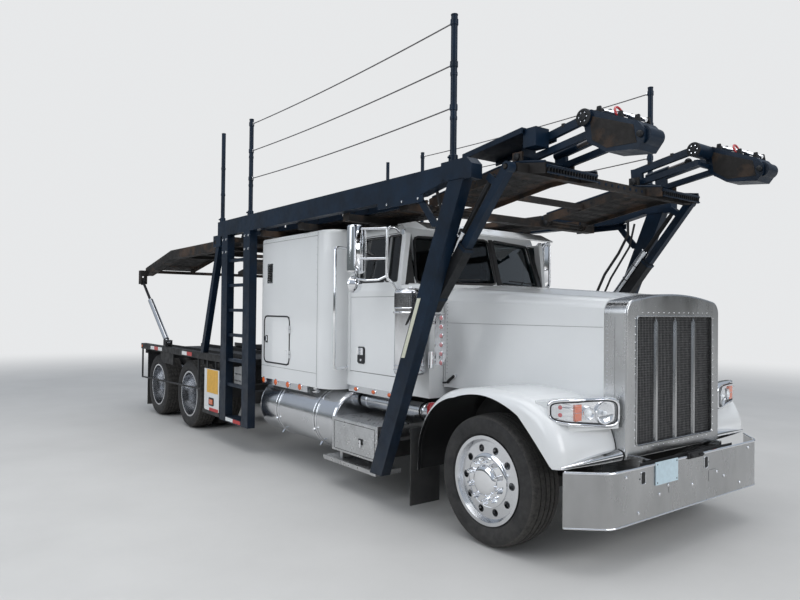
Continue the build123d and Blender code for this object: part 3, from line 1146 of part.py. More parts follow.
with BuildPart() as deck_ram_rods:
    for s in (-1, 1):
        x = s * LEG_X
        bar(on_leg(x, 260, RAM_BEHIND), on_leg(x, RAM_EYE - 60, RAM_BEHIND), ROD_R)
        bar(on_leg(x, RAM_EYE - 62, RAM_BEHIND), on_leg(x, RAM_EYE, RAM_BEHIND), EYE_HALF)
        bar(on_leg(x - EYE_HALF, RAM_EYE, RAM_BEHIND), on_leg(x + EYE_HALF, RAM_EYE, RAM_BEHIND), 24)
        bar(on_leg(x - 30, RAM_EYE, RAM_BEHIND), on_leg(x + 30, RAM_EYE, RAM_BEHIND), RAM_PIN_R + PIN_GAP,
            mode=Mode.SUBTRACT)
finish(deck_ram_rods, "deck_ram_rods")


# Tail deck: side beams and two tracks that dip to the rear, on a hinge behind the columns
def tail_line(raise_by):
    """Corner points of the tail deck's upper line, raised by an amount."""
    return [(TAIL_HINGE[0] - 30, TAIL_FRONT_Z + raise_by), (TAIL_BEND, TAIL_BEND_Z + raise_by),
            (TAIL_REAR, TAIL_REAR_Z + raise_by)]


def tail_strip(upper, lower):
    """Outlines of a strip under the tail deck's upper line, ahead of its bend and behind it."""
    above = tail_line(-upper)
    below = tail_line(-lower)
    seam = SEAT / 2
    cut = [(above[1][0] - seam, above[1][1]), (below[1][0] - seam, below[1][1])]
    ahead = [above[0], cut[0], cut[1], below[0]]
    cut = [(above[1][0] + seam, above[1][1]), (below[1][0] + seam, below[1][1])]
    behind = [cut[0], above[2], below[2], cut[1]]
    return ahead, behind


TAIL_BEAMS = (4700, 5600, 6480, 7640)
TAIL_FLANGE = 70
CHEEK_DEPTH = 125
with BuildPart() as tail_deck:
    for s in (-1, 1):
        cheek_in = TAIL_HALF - TAIL_BEAM_W
        for outline in tail_strip(0, CHEEK_DEPTH):
            with BuildSketch(side(cheek_in if s > 0 else -TAIL_HALF)) as cheek:
                Polygon(*outline, align=None)
            extrude(cheek.sketch, amount=TAIL_BEAM_W)
        inner = TRACK_IN if s > 0 else -TRACK_IN - TRACK_W
        for outline in tail_strip(10, 24):
            with BuildSketch(side(inner)) as track:
                Polygon(*outline, align=None)
            extrude(track.sketch, amount=TRACK_W)
        for outline in tail_strip(-10, TAIL_FLANGE):
            for x in (inner, inner + TRACK_W - 14):
                with BuildSketch(side(x)) as flange:
                    Polygon(*outline, align=None)
                extrude(flange.sketch, amount=14)
        for low, high in ((RAM_LUG_IN, RAM_LUG_IN + 22), (RAM_LUG_OUT - 22, RAM_LUG_OUT)):
            block((s * low, s * high), (TAIL_RAM_EYE[0] - 60, TAIL_RAM_EYE[0] + 60),
                  (TAIL_RAM_EYE[1] - 45, TAIL_RAM_EYE[1] + 130))
        block((s * (TAIL_HALF - 10), s * RAM_LUG_OUT), (TAIL_RAM_EYE[0] - 60, TAIL_RAM_EYE[0] + 60),
              (TAIL_RAM_EYE[1] + 85, TAIL_RAM_EYE[1] + 175))
        bar(at(s * (RAM_LUG_IN + 2), *TAIL_RAM_EYE), at(s * (RAM_LUG_OUT - 2), *TAIL_RAM_EYE), TAIL_PIN_R)
        bar(at(s * (TAIL_HALF - 20), *TAIL_HINGE), at(s * (RACK_HALF - 5), *TAIL_HINGE), TAIL_HINGE_R)
        for y in TAIL_BEAMS:
            fall = max(0, y - TAIL_BEND) * TAIL_SLOPE
            z = TAIL_BEND_Z - TAIL_FLANGE - fall - 40 * (TAIL_SLOPE if y > TAIL_BEND else 0) - SEAT
            if s < 0:
                block((-cheek_in + SEAT, cheek_in - SEAT), (y - 40, y + 40), (z - 45, z))
finish(tail_deck, "tail_deck")

# Rams of the tail deck
TAIL_START = Vector(0, *TAIL_RAM_FOOT)
TAIL_RUN = Vector(0, *TAIL_RAM_EYE) - TAIL_START
TAIL_LENGTH = TAIL_RUN.length
TAIL_BARREL = 1050


def on_tail_ram(x, distance):
    """Point at a distance up the tail ram's line from its foot pin."""
    point = TAIL_START + TAIL_RUN * (distance / TAIL_LENGTH)
    return at(x, point.Y, point.Z)


with BuildPart() as tail_rams:
    for s in (-1, 1):
        x = s * TAIL_RAM_X
        bar(on_tail_ram(x, 10), on_tail_ram(x, 80), 24)
        bar(on_tail_ram(x, 75), on_tail_ram(x, TAIL_BARREL), 40)
        bar(on_tail_ram(x, 80), on_tail_ram(x, TAIL_BARREL + 10), ROD_R + PIN_GAP, mode=Mode.SUBTRACT)
        bar(at(x - 25, *TAIL_RAM_FOOT), at(x + 25, *TAIL_RAM_FOOT), 42)
        bar(at(x - 50, *TAIL_RAM_FOOT), at(x + 50, *TAIL_RAM_FOOT), TAIL_PIN_R + PIN_GAP, mode=Mode.SUBTRACT)
finish(tail_rams, "tail_rams")

with BuildPart() as tail_ram_rods:
    for s in (-1, 1):
        x = s * TAIL_RAM_X
        bar(on_tail_ram(x, 400), on_tail_ram(x, TAIL_LENGTH - 50), ROD_R)
        bar(at(x - 22, *TAIL_RAM_EYE), at(x + 22, *TAIL_RAM_EYE), 60)
        bar(at(x - 50, *TAIL_RAM_EYE), at(x + 50, *TAIL_RAM_EYE), TAIL_BORE_R, mode=Mode.SUBTRACT)
finish(tail_ram_rods, "tail_ram_rods")

# Low deck over the drive wheels: side rails, cross beams between the wheels, two tracks
LOW_BEAMS = (4480, 5070, 6270, 7500)
LOW_RAIL_LOW = LOW_RAIL_TOP - LOW_RAIL_H
LOW_BEAM_END = RACK_HALF - 60
with BuildPart() as low_deck:
    for y in LOW_BEAMS:
        block((-LOW_BEAM_END, LOW_BEAM_END), (y, y + 85), (FRAME_TOP + SEAT, LOW_RAIL_LOW - SEAT))
    for s in (-1, 1):
        block((s * (RACK_HALF - RACK_T), s * (RACK_HALF - 10)), (COLUMNS[1] + COLUMN_W / 2 + SEAT, 7650),
              (LOW_RAIL_LOW, LOW_RAIL_TOP))
        block((s * LOW_TRACK_IN, s * (LOW_TRACK_IN + LOW_TRACK_W)), (LOW_BEAMS[0], 7650),
              (LOW_RAIL_LOW, LOW_RAIL_LOW + 14))
        for x in (LOW_TRACK_IN, LOW_TRACK_IN + LOW_TRACK_W):
            block((s * x - 8, s * x + 8), (LOW_BEAMS[0], 7650), (LOW_RAIL_LOW, LOW_RAIL_LOW + 60))
        block((s * RAM_LUG_IN, s * RAM_LUG_OUT), (TAIL_RAM_FOOT[0] - 70, TAIL_RAM_FOOT[0] + 60),
              (LOW_RAIL_TOP + SEAT, LOW_RAIL_TOP + 10))
        for low, high in ((RAM_LUG_IN, RAM_LUG_IN + 22), (RAM_LUG_OUT - 22, RAM_LUG_OUT)):
            block((s * low, s * high), (TAIL_RAM_FOOT[0] - 60, TAIL_RAM_FOOT[0] + 45),
                  (LOW_RAIL_TOP + 5, TAIL_RAM_FOOT[1] + 40))
        bar(at(s * (RAM_LUG_IN + 2), *TAIL_RAM_FOOT), at(s * (RAM_LUG_OUT - 2), *TAIL_RAM_FOOT), TAIL_PIN_R)
        with BuildSketch(side(RACK_HALF - 55 if s > 0 else -RACK_HALF + 35)) as plate:
            Polygon((6190, LOW_RAIL_LOW - SEAT), (6760, LOW_RAIL_LOW - SEAT), (6740, 890), (6640, 812),
                    (6190, 805), align=None)
        extrude(plate.sketch, amount=20)
finish(low_deck, "low_deck")

# Stinger: the drop beam behind the frame that carries the coupling ball
with BuildPart() as stinger:
    block((-FRAME_HALF, FRAME_HALF), (7480, FRAME_REAR), (FRAME_LOW - 60, FRAME_LOW - SEAT))
    block((-STINGER_W / 2, STINGER_W / 2), (7500, FRAME_REAR), (STINGER_Z - 75, FRAME_LOW - 50))
    block((-STINGER_W / 2, STINGER_W / 2), (7500, HITCH_Y), (STINGER_Z - 75, STINGER_Z + 75))
    bar(at(0, HITCH_Y, STINGER_Z - 75), at(0, HITCH_Y, STINGER_Z + 75), REAR_REACH - HITCH_Y)
    bar(at(0, HITCH_Y, STINGER_Z + 70), at(0, HITCH_Y, STINGER_Z + 150), 30)
    with Locations(at(0, HITCH_Y, STINGER_Z + 170)):
        Sphere(BALL_R)
finish(stinger, "stinger")

# Side fittings: mud flaps with hangers, wheel guard bars and side panels
GUARD_X = 1262
with BuildPart() as side_fittings:
    for s in (-1, 1):
        block((s * 880, s * 1180), (800, 810), (90, 700))
        bar(at(s * (FRAME_HALF + SEAT), 821, 680), at(s * 1180, 821, 680), 12)
        block((s * 640, s * 1215), (7510, 7520), (90, FRAME_TOP))
        bar(at(s * GUARD_X, 5095, 579), at(s * GUARD_X, 7640, 520), 12)
        for y in (5175, 7630):
            z = 579 - (y - 5095) * 0.0232
            block((s * GUARD_X - 10, s * GUARD_X + 10), (y - 14, y + 14), (z, LOW_RAIL_LOW - SEAT))
        block((s * (GUARD_X - 4), s * (GUARD_X + 14)), (4480, 4940), (355, 866))
        block((s * (GUARD_X - 20), s * (GUARD_X + 18)), (4440, 4990), (300, 346))
        for y in (4600, 4880):
            block((s * (GUARD_X - 16), s * (GUARD_X - 4)), (y, y + 40), (320, LOW_RAIL_LOW - SEAT))
finish(side_fittings, "side_fittings")

# Polished strips with marker lamps below the cab and the sleeper
with BuildPart() as light_strips:
    for s in (-1, 1):
        block((s * 912, s * 946), (1140, 2070), (850, CAB_FLOOR_Z - SEAT))
        block((s * 1112, s * 1146), (2520, 3575), (798, SLEEPER_LOW - SEAT))
finish(light_strips, "light_strips")
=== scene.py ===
from math import cos, pi, radians, sin, sqrt

import bmesh
import bpy
from mathutils import Matrix, Vector


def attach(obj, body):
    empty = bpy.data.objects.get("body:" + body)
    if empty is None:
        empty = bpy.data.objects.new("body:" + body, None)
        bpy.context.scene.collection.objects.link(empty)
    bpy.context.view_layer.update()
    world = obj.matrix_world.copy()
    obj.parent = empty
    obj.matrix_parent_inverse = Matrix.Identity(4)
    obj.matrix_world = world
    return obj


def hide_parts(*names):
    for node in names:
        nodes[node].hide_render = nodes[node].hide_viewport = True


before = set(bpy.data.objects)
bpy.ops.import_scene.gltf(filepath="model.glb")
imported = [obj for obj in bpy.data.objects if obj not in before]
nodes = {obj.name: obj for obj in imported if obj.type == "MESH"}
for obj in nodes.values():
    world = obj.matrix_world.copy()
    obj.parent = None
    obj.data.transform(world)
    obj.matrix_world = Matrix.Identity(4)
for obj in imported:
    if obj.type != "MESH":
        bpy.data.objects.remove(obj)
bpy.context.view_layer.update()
scene = bpy.context.scene

# Places that several pieces share, in metres. x runs to the left, y backwards from the front axle, z up.
AXLE = -4.0175
DRIVE_AXLES = (5.654, 6.976)
WHEEL_Z = 0.455
STEER_FACE, DRIVE_FACE, TWIN_PITCH = 1.169, 1.227, 0.335
MESH_Y = -0.7257
BUMPER_Y = -0.872
CAB_X, SLEEPER_X = 0.95, 1.15
RAIL_X = 1.25
SIDES = (("right", -1), ("left", 1))
X, Y, Z = Vector((1, 0, 0)), Vector((0, 1, 0)), Vector((0, 0, 1))
BACKDROP = (0.8, 0.81, 0.82)
DUST = (0.36, 0.33, 0.29)


# Camera at the photograph's place
def place_camera():
    yaw, pitch, roll = radians(37.283), radians(0.787), radians(0.597)
    forward = Vector((sin(yaw) * cos(pitch), cos(yaw) * cos(pitch), sin(pitch)))
    right = forward.cross(Z).normalized()
    up = right.cross(forward)
    right, up = cos(roll) * right + sin(roll) * up, cos(roll) * up - sin(roll) * right
    turn = Matrix((right, up, -forward)).transposed().to_4x4()
    data = bpy.data.cameras.new("camera")
    data.sensor_width = 36
    data.lens = 663.212 / 800 * 36
    data.clip_end = 200
    camera = bpy.data.objects.new("camera", data)
    camera.matrix_world = Matrix.Translation((-4.433, -3.31 + AXLE, 1.639)) @ turn
    scene.collection.objects.link(camera)
    scene.camera = camera


place_camera()


# Shader nodes
def set_inputs(node, values):
    for key, value in values.items():
        node.inputs[key].default_value = value


def math_node(tree, operation, a, b=0.0):
    node = tree.nodes.new("ShaderNodeMath")
    node.operation = operation
    for socket, value in zip(node.inputs, (a, b)):
        if isinstance(value, (int, float)):
            socket.default_value = value
        else:
            tree.links.new(value, socket)
    return node.outputs[0]


def remap(tree, source, low, high, to_low, to_high, kind="LINEAR"):
    node = tree.nodes.new("ShaderNodeMapRange")
    node.interpolation_type = kind
    set_inputs(node, {"From Min": low, "From Max": high, "To Min": to_low, "To Max": to_high})
    tree.links.new(source, node.inputs["Value"])
    return node.outputs["Result"]


def mix(tree, factor, *colors):
    node = tree.nodes.new("ShaderNodeMix")
    node.data_type = "RGBA"
    tree.links.new(factor, node.inputs["Factor"])
    for socket, value in zip((s for s in node.inputs if s.type == "RGBA"), colors):
        if isinstance(value, tuple):
            socket.default_value = (*value, 1)
        else:
            tree.links.new(value, socket)
    return next(s for s in node.outputs if s.type == "RGBA")


def parts_of(tree, source):
    node = tree.nodes.new("ShaderNodeSeparateXYZ")
    tree.links.new(source, node.inputs[0])
    return node.outputs


# Materials: a principled shader with noise in colour, roughness and bump, and dust low on the truck
def material(name, color, rough, metal=0.0, noise=(0.12, 6.0, 0.08), bump=None, dust=None, patches=None,
             coat=0.0, stretch=(1, 1, 1), transmission=0.0, specular=0.5, alpha=1.0):
    """Noise is colour change, scale and roughness change; bump is height and scale; dust is share and top;
    patches are a colour, scale and share."""
    mat = bpy.data.materials.new(name)
    mat.use_nodes = True
    tree = mat.node_tree
    shader = tree.nodes["Principled BSDF"]
    set_inputs(shader, {"Metallic": metal, "Coat Weight": coat, "Coat Roughness": 0.06, "IOR": 1.45,
                        "Transmission Weight": transmission, "Alpha": alpha, "Specular IOR Level": specular})
    coords = tree.nodes.new("ShaderNodeTexCoord")
    place = tree.nodes.new("ShaderNodeMapping")
    place.inputs["Scale"].default_value = stretch
    tree.links.new(coords.outputs["Object"], place.inputs["Vector"])

    def grain(size, detail=6.0):
        node = tree.nodes.new("ShaderNodeTexNoise")
        set_inputs(node, {"Scale": size, "Detail": detail, "Roughness": 0.6})
        tree.links.new(place.outputs["Vector"], node.inputs["Vector"])
        return node.outputs["Fac"]

    vary, scale, rough_vary = noise
    dark = tuple(c * (1 - vary) for c in color)
    light = tuple(min(1, c * (1 + vary * 0.6)) for c in color)
    shade = mix(tree, remap(tree, grain(scale), 0.32, 0.68, 0, 1), dark, light)
    if patches:
        second, size, share = patches
        cover = remap(tree, grain(size, 8.0), 0.62 - share * 0.3, 0.7 - share * 0.2, 0, 1)
        shade = mix(tree, cover, shade, second)
    if dust:
        height = remap(tree, parts_of(tree, coords.outputs["Object"])[2], 0.0, dust[1], dust[0], 0.0)
        cover = remap(tree, grain(scale * 0.7, 10.0), 0.3, 0.62, 0.15, 1.0)
        shade = mix(tree, math_node(tree, "MULTIPLY", height, cover), shade, DUST)
    tree.links.new(shade, shader.inputs["Base Color"])
    low, high = max(0.02, rough - rough_vary), min(1, rough + rough_vary)
    tree.links.new(remap(tree, grain(scale * 2.3), 0.3, 0.7, low, high), shader.inputs["Roughness"])
    if bump:
        node = tree.nodes.new("ShaderNodeBump")
        set_inputs(node, {"Strength": 1.0, "Distance": bump[0]})
        tree.links.new(grain(bump[1], 3.0), node.inputs["Height"])
        tree.links.new(node.outputs["Normal"], shader.inputs["Normal"])
    return mat


WHITE = material("white_paint", (0.8, 0.81, 0.81), 0.22, noise=(0.025, 1.6, 0.05), coat=0.6, dust=(0.25, 1.1),
                 bump=(0.00005, 90))
NAVY = material("navy_paint", (0.0035, 0.013, 0.029), 0.42, noise=(0.4, 5, 0.12), coat=0.03, dust=(0.08, 1.2),
                bump=(0.0002, 60), specular=0.25)
BLACK = material("black_steel", (0.012, 0.013, 0.015), 0.55, noise=(0.4, 7, 0.15), dust=(0.14, 1.4),
                 bump=(0.0003, 90), specular=0.35)
DECK = material("deck_steel", (0.02, 0.018, 0.017), 0.66, noise=(0.35, 5, 0.15), bump=(0.0006, 120),
                patches=((0.06, 0.038, 0.026), 3.5, 0.4), specular=0.3)
CHROME = material("chrome", (0.86, 0.87, 0.89), 0.07, 1.0, noise=(0.05, 3, 0.04))
POLISHED = material("polished_steel", (0.74, 0.75, 0.77), 0.13, 1.0, noise=(0.06, 2.5, 0.06),
                    bump=(0.0001, 5))
ALUMINIUM = material("polished_aluminium", (0.7, 0.71, 0.73), 0.2, 1.0, noise=(0.1, 4, 0.08),
                     bump=(0.00008, 14), stretch=(1, 0.25, 1))
TREAD_PLATE = material("tread_plate", (0.6, 0.61, 0.62), 0.33, 1.0, noise=(0.15, 8, 0.1), dust=(0.3, 0.8))
BRUSHED = material("brushed_steel", (0.5, 0.505, 0.51), 0.25, 1.0, noise=(0.22, 1.8, 0.09), bump=(0.0004, 4),
                   stretch=(1, 1, 0.4), dust=(0.25, 1.0))
TYRE = material("tyre_rubber", (0.02, 0.02, 0.021), 0.74, noise=(0.3, 14, 0.1), dust=(0.09, 1.3),
                bump=(0.0008, 220))
TREAD = material("tyre_tread", (0.034, 0.033, 0.032), 0.85, noise=(0.45, 60, 0.1), dust=(0.16, 1.3),
                 bump=(0.0012, 260))
RUBBER = material("mudflap_rubber", (0.02, 0.021, 0.023), 0.6, noise=(0.3, 5, 0.12), dust=(0.15, 0.9),
                  bump=(0.0006, 40))
SEAL = material("rubber_seal", (0.012, 0.012, 0.013), 0.5, noise=(0.2, 20, 0.08))
# Glass darker than its tint: painted shade of the cab's inside, nearly black on the door glass
GLASS = material("tinted_glass_and_painted_shade", (0.16, 0.21, 0.23), 0.03, noise=(0.02, 6, 0.01), transmission=1.0)
DOOR_GLASS_SHADE = material("door_glass_tint_and_painted_shade", (0.05, 0.065, 0.07), 0.03, noise=(0.02, 6, 0.01), transmission=1.0)
CLEAR = material("clear_lens", (0.93, 0.95, 0.97), 0.03, noise=(0.02, 6, 0.02), alpha=0.16, coat=1.0)
BULB = material("lamp_bulb", (0.92, 0.95, 0.97), 0.08, noise=(0.03, 6, 0.03), coat=1.0)
MIRROR = material("mirror_glass", (0.75, 0.78, 0.8), 0.03, 1.0, noise=(0.02, 6, 0.01))
AMBER = material("amber_lens", (0.72, 0.13, 0.025), 0.16, noise=(0.12, 30, 0.08), coat=0.7)
RED_CLEAR = material("pink_lens", (0.75, 0.3, 0.32), 0.14, noise=(0.15, 30, 0.08), coat=0.8)
RED = material("red_lens", (0.5, 0.02, 0.025), 0.16, noise=(0.15, 30, 0.08), coat=0.7)
LINING = material("cab_lining", (0.05, 0.05, 0.055), 0.7, noise=(0.25, 25, 0.08), bump=(0.0006, 300))
SEAT_CLOTH = material("seat_cloth", (0.09, 0.09, 0.1), 0.9, noise=(0.3, 60, 0.08), bump=(0.001, 500))
WHITE_TAPE = material("white_tape", (0.78, 0.79, 0.78), 0.35, noise=(0.1, 80, 0.08))
RED_TAPE = material("red_tape", (0.5, 0.03, 0.03), 0.35, noise=(0.15, 80, 0.08))
PALE_TAPE = material("pale_tape", (0.62, 0.62, 0.5), 0.35, noise=(0.1, 60, 0.08))
WIRE = material("wire_rope", (0.16, 0.15, 0.15), 0.4, 0.8, noise=(0.3, 60, 0.08), stretch=(1, 0.2, 1))
RUST = material("rusty_steel", (0.018, 0.016, 0.015), 0.7, noise=(0.35, 9, 0.15), specular=0.3,
                patches=((0.042, 0.028, 0.02), 7, 0.4), bump=(0.0005, 150))
# Near-black discs that close the deck holes: painted shade
HOLE_SHADE = material("painted_hole_shade", (0.012, 0.012, 0.014), 0.7, noise=(0.2, 30, 0.08))
YELLOW = material("yellow_panel", (0.75, 0.42, 0.06), 0.45, noise=(0.12, 30, 0.08))
DARK_MESH = material("dark_wire", (0.13, 0.13, 0.132), 0.36, 0.7, noise=(0.3, 40, 0.1))
PLATE_BLUE = material("blank_plate", (0.55, 0.68, 0.74), 0.4, noise=(0.1, 25, 0.08))
# Near-black for the tow hook, its bracket and bolts, and painted shade behind the grille, in the bumper's
# openings and in the gap under the nose
SHADE_AND_DARK_PARTS = material("painted_shade_and_dark_parts", (0.012, 0.012, 0.013), 0.6, noise=(0.2, 50, 0.08))


# Outlines
def circle(n, start=0.0):
    """Cosine and sine of n even steps round a circle."""
    return [(cos(2 * pi * (k + start) / n), sin(2 * pi * (k + start) / n)) for k in range(n)]


def squared(v, power):
    """Signed power of a cosine or sine, which turns a circle into a rounded box."""
    return (1 if v > 0 else -1) * abs(v) ** power


def rounded(u0, u1, v0, v1, r, steps):
    """Outline with arcs of radius r round the corners of a box, from its lower left corner."""
    outline = []
    for k, (u, v) in enumerate(((u0, v0), (u1, v0), (u1, v1), (u0, v1))):
        for t in range(steps):
            a = pi * (1 + k / 2 + t / 2 / (steps - 1))
            outline.append((u + r * cos(a), v + r * sin(a)))
    return outline


def chamfered(u0, u1, v0, v1, c):
    """Box outline with its corners cut off by c."""
    return [(u0 + c, v0), (u1 - c, v0), (u1, v0 + c), (u1, v1 - c),
            (u1 - c, v1), (u0 + c, v1), (u0, v1 - c), (u0, v0 + c)]


class Piece:
    """A mesh under construction. Its y values count backwards from the front axle."""

    def __init__(self, name, body, *materials):
        self.bm = bmesh.new()
        self.name = name
        self.body = body
        self.materials = materials
        self.index = 0

    def use(self, index):
        self.index = index

    def face(self, verts):
        try:
            self.bm.faces.new(verts).material_index = self.index
        except ValueError:
            pass

    def rings(self, rings, caps=True):
        """Skins a list of rings that have the same number of points."""
        rows = [[self.bm.verts.new(v) for v in ring] for ring in rings]
        n = len(rows[0])
        for a, b in zip(rows, rows[1:]):
            for i in range(n):
                j = (i + 1) % n
                self.face((a[i], a[j], b[j], b[i]))
        if caps:
            self.face(list(reversed(rows[0])))
            self.face(rows[-1])

    def box(self, x, y, z):
        (x0, x1), (y0, y1), (z0, z1) = (sorted(v) for v in (x, y, z))
        self.rings([[(x0, y0, h), (x1, y0, h), (x1, y1, h), (x0, y1, h)] for h in (z0, z1)])

    def prism(self, outline, axis, low, high):
        """Outline in the two other axes, in order, carried along an axis."""
        def spot(p, d):
            return {"x": (d, p[0], p[1]), "y": (p[0], d, p[1]), "z": (p[0], p[1], d)}[axis]
        self.rings([[spot(p, d) for p in outline] for d in (low, high)])

    def bar(self, a, b, r, n=16):
        a, b = Vector(a), Vector(b)
        along = (b - a).normalized()
        side = along.orthogonal().normalized()
        other = along.cross(side)
        self.rings([[end + r * (c * side + d * other) for c, d in circle(n)] for end in (a, b)])

    def tube(self, points, r, n=10, loop=False):
        """Round tube along points."""
        pts = [Vector(p) for p in points]
        last = len(pts) - 1
        ahead = []
        for i in range(last + 1):
            before = pts[i - 1] if (i or loop) else pts[i]
            after = pts[(i + 1) % (last + 1)] if (i < last or loop) else pts[i]
            ahead.append((after - before).normalized())
        side = ahead[0].orthogonal().normalized()
        rings = []
        for p, t in zip(pts, ahead):
            side = (side - side.dot(t) * t).normalized()
            other = t.cross(side)
            rings.append([p + r * (c * side + d * other) for c, d in circle(n)])
        if loop:
            rings.append(rings[0])
        self.rings(rings, caps=not loop)

    def hoop(self, centre, r, thick, n, u=X, v=Z, sides=8):
        """Ring of round wire in the plane of u and v."""
        self.tube([Vector(centre) + r * (c * u + d * v) for c, d in circle(n)], thick, n=sides, loop=True)

    def lathe(self, origin, axis, profile, n=64, wave=None):
        """Turns a profile of (distance along axis, radius) round the axis; wave changes a radius."""
        o, t = Vector(origin), Vector(axis).normalized()
        side = t.orthogonal().normalized()
        other = t.cross(side)
        rows = []
        for i, (c, d) in enumerate(circle(n)):
            out = c * side + d * other
            rows.append([self.bm.verts.new(o + along * t + (r if wave is None else wave(i, k, r)) * out)
                         for k, (along, r) in enumerate(profile)])
        for i in range(n):
            a, b = rows[i], rows[(i + 1) % n]
            for k in range(len(profile) - 1):
                self.face((a[k], a[k + 1], b[k + 1], b[k]))

    def ball(self, centre, r, scale=(1, 1, 1), n=16):
        made = bmesh.ops.create_uvsphere(self.bm, u_segments=n, v_segments=n // 2, radius=r)
        for v in made["verts"]:
            v.co = Vector(c * s for c, s in zip(v.co, scale)) + Vector(centre)
            for f in v.link_faces:
                f.material_index = self.index

    def mirror(self):
        """Adds the copy on the other side of the truck."""
        made = bmesh.ops.duplicate(self.bm, geom=self.bm.verts[:] + self.bm.edges[:] + self.bm.faces[:])
        faces = [g for g in made["geom"] if isinstance(g, bmesh.types.BMFace)]
        for v in (g for g in made["geom"] if isinstance(g, bmesh.types.BMVert)):
            v.co.x = -v.co.x
        bmesh.ops.reverse_faces(self.bm, faces=faces)

    def done(self, bevel=0.0, angle=35, weld=True, replaces=()):
        bm = self.bm
        if weld:
            bmesh.ops.remove_doubles(bm, verts=bm.verts[:], dist=0.00002)
        bmesh.ops.recalc_face_normals(bm, faces=bm.faces[:])
        bmesh.ops.translate(bm, verts=bm.verts[:], vec=(0, AXLE, 0))
        for f in bm.faces:
            f.smooth = True
        mesh = bpy.data.meshes.new(self.name)
        bm.to_mesh(mesh)
        bm.free()
        mesh.set_sharp_from_angle(angle=radians(angle))
        for m in self.materials:
            mesh.materials.append(m)
        obj = bpy.data.objects.new(self.name, mesh)
        scene.collection.objects.link(obj)
        if bevel:
            edge = obj.modifiers.new("edges", "BEVEL")
            edge.width = bevel
            edge.segments = 2
            edge.limit_method = "ANGLE"
            edge.angle_limit = radians(30)
            edge.harden_normals = True
        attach(obj, self.body)
        if replaces:
            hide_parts(*replaces)


# Tyres
def tyre(p, face_x, width, s, y, stations, lug=0, ribs=5):
    """Adds a tyre with grooves round its tread; every lug-th station is cut down across the tread."""
    wall = ((0.4, 0.685), (0.47, 0.72), (0.5, 0.8), (0.492, 0.88), (0.465, 0.945), (0.425, 0.972))
    left = [(-a * width, b * WHEEL_Z, False) for a, b in wall]
    right = [(a * width, b * WHEEL_Z, False) for a, b in reversed(wall)]
    edge, groove, depth = 0.395 * width, 0.01, 0.013
    pitch = 2 * edge / ribs
    tread = []
    for k in range(ribs):
        low = -edge + k * pitch + (groove / 2 if k else 0)
        high = -edge + (k + 1) * pitch - (groove / 2 if k < ribs - 1 else 0)
        crown = [WHEEL_Z - 0.01 * (v / edge) ** 2 for v in (low, high)]
        tread += [(low, crown[0], True), (high, crown[1], True)]
        if k < ribs - 1:
            bottom = crown[1] - depth
            tread += [(high + 0.001, bottom, False), (high + groove - 0.001, bottom, False)]
    section = [(s * (face_x - width / 2 + d), r, t) for d, r, t in left + tread + right]

    def wave(i, k, r):
        return r - 0.009 if section[k][2] and lug and i % lug == 0 else r

    p.lathe((0, y, WHEEL_Z), X, [(d, r) for d, r, _ in section], n=stations, wave=wave)
    for f in p.bm.faces:
        c = f.calc_center_median()
        f.material_index = 1 if (c - Vector((c.x, y, WHEEL_Z))).length > 0.425 else 0


for side, s in SIDES:
    p = Piece(f"steer_tyre_{side}", f"front_wheel_{side}", TYRE, TREAD)
    tyre(p, STEER_FACE, 0.285, s, 0, 144)
    p.done(replaces=(f"front_tyre_{side}",))
    for number, axle in enumerate(DRIVE_AXLES, start=1):
        p = Piece(f"drive_tyre_{number}_{side}", f"drive_wheels_{number}_{side}", TYRE, TREAD)
        for face_x in (DRIVE_FACE, DRIVE_FACE - TWIN_PITCH):
            tyre(p, face_x, 0.27, s, axle, 160, lug=4)
        p.done(replaces=(f"drive_tyres_{number}_{side}",))


# Wheel trim: nut covers, hub dome, studs
def around(count, radius, y, start=0.0):
    return [(y + radius * c, WHEEL_Z + radius * d) for c, d in circle(count, start)]


for side, s in SIDES:
    out = s * X
    p = Piece(f"wheel_trim_{side}", f"front_wheel_{side}", CHROME)
    disc, hub = s * (STEER_FACE - 0.04), s * (STEER_FACE + 0.008)
    p.lathe((disc, 0, WHEEL_Z), out, [(-0.004, 0.186), (0.006, 0.184), (0.012, 0.176), (0.014, 0.155),
                                      (0.018, 0.118), (0.02, 0.105)], n=72)
    p.lathe((hub, 0, WHEEL_Z), out, [(-0.045, 0.112), (-0.02, 0.108), (-0.004, 0.096), (0.003, 0.082),
                                     (0.004, 0.055), (0.006, 0.03), (0.006, 0.0005)], n=48)
    for y, z in around(10, 0.1425, 0, 0.5):
        p.lathe((disc, y, z), out, [(0.008, 0.0235), (0.02, 0.0225), (0.026, 0.019), (0.05, 0.018),
                                    (0.06, 0.014), (0.064, 0.0005)], n=16)
    p.done()
    flange = DRIVE_FACE - TWIN_PITCH / 2 - 0.123
    face = flange + 0.118
    for number, axle in enumerate(DRIVE_AXLES, start=1):
        p = Piece(f"hub_trim_{number}_{side}", f"drive_wheels_{number}_{side}", ALUMINIUM, BLACK)
        for y, z in around(10, 0.1425, axle, 0.5):
            p.bar((s * flange, y, z), (s * (flange + 0.03), y, z), 0.019, n=6)
            p.bar((s * (flange + 0.03), y, z), (s * (flange + 0.045), y, z), 0.011, n=12)
        p.use(1)
        cap = [(-0.004, 0.095), (0.006, 0.093), (0.008, 0.085), (0.008, 0.05), (0.02, 0.045), (0.022, 0.0005)]
        p.lathe((s * face, axle, WHEEL_Z), out, cap, n=40)
        for y, z in around(8, 0.072, axle):
            p.bar((s * face, y, z), (s * (face + 0.02), y, z), 0.01, n=6)
        p.done()
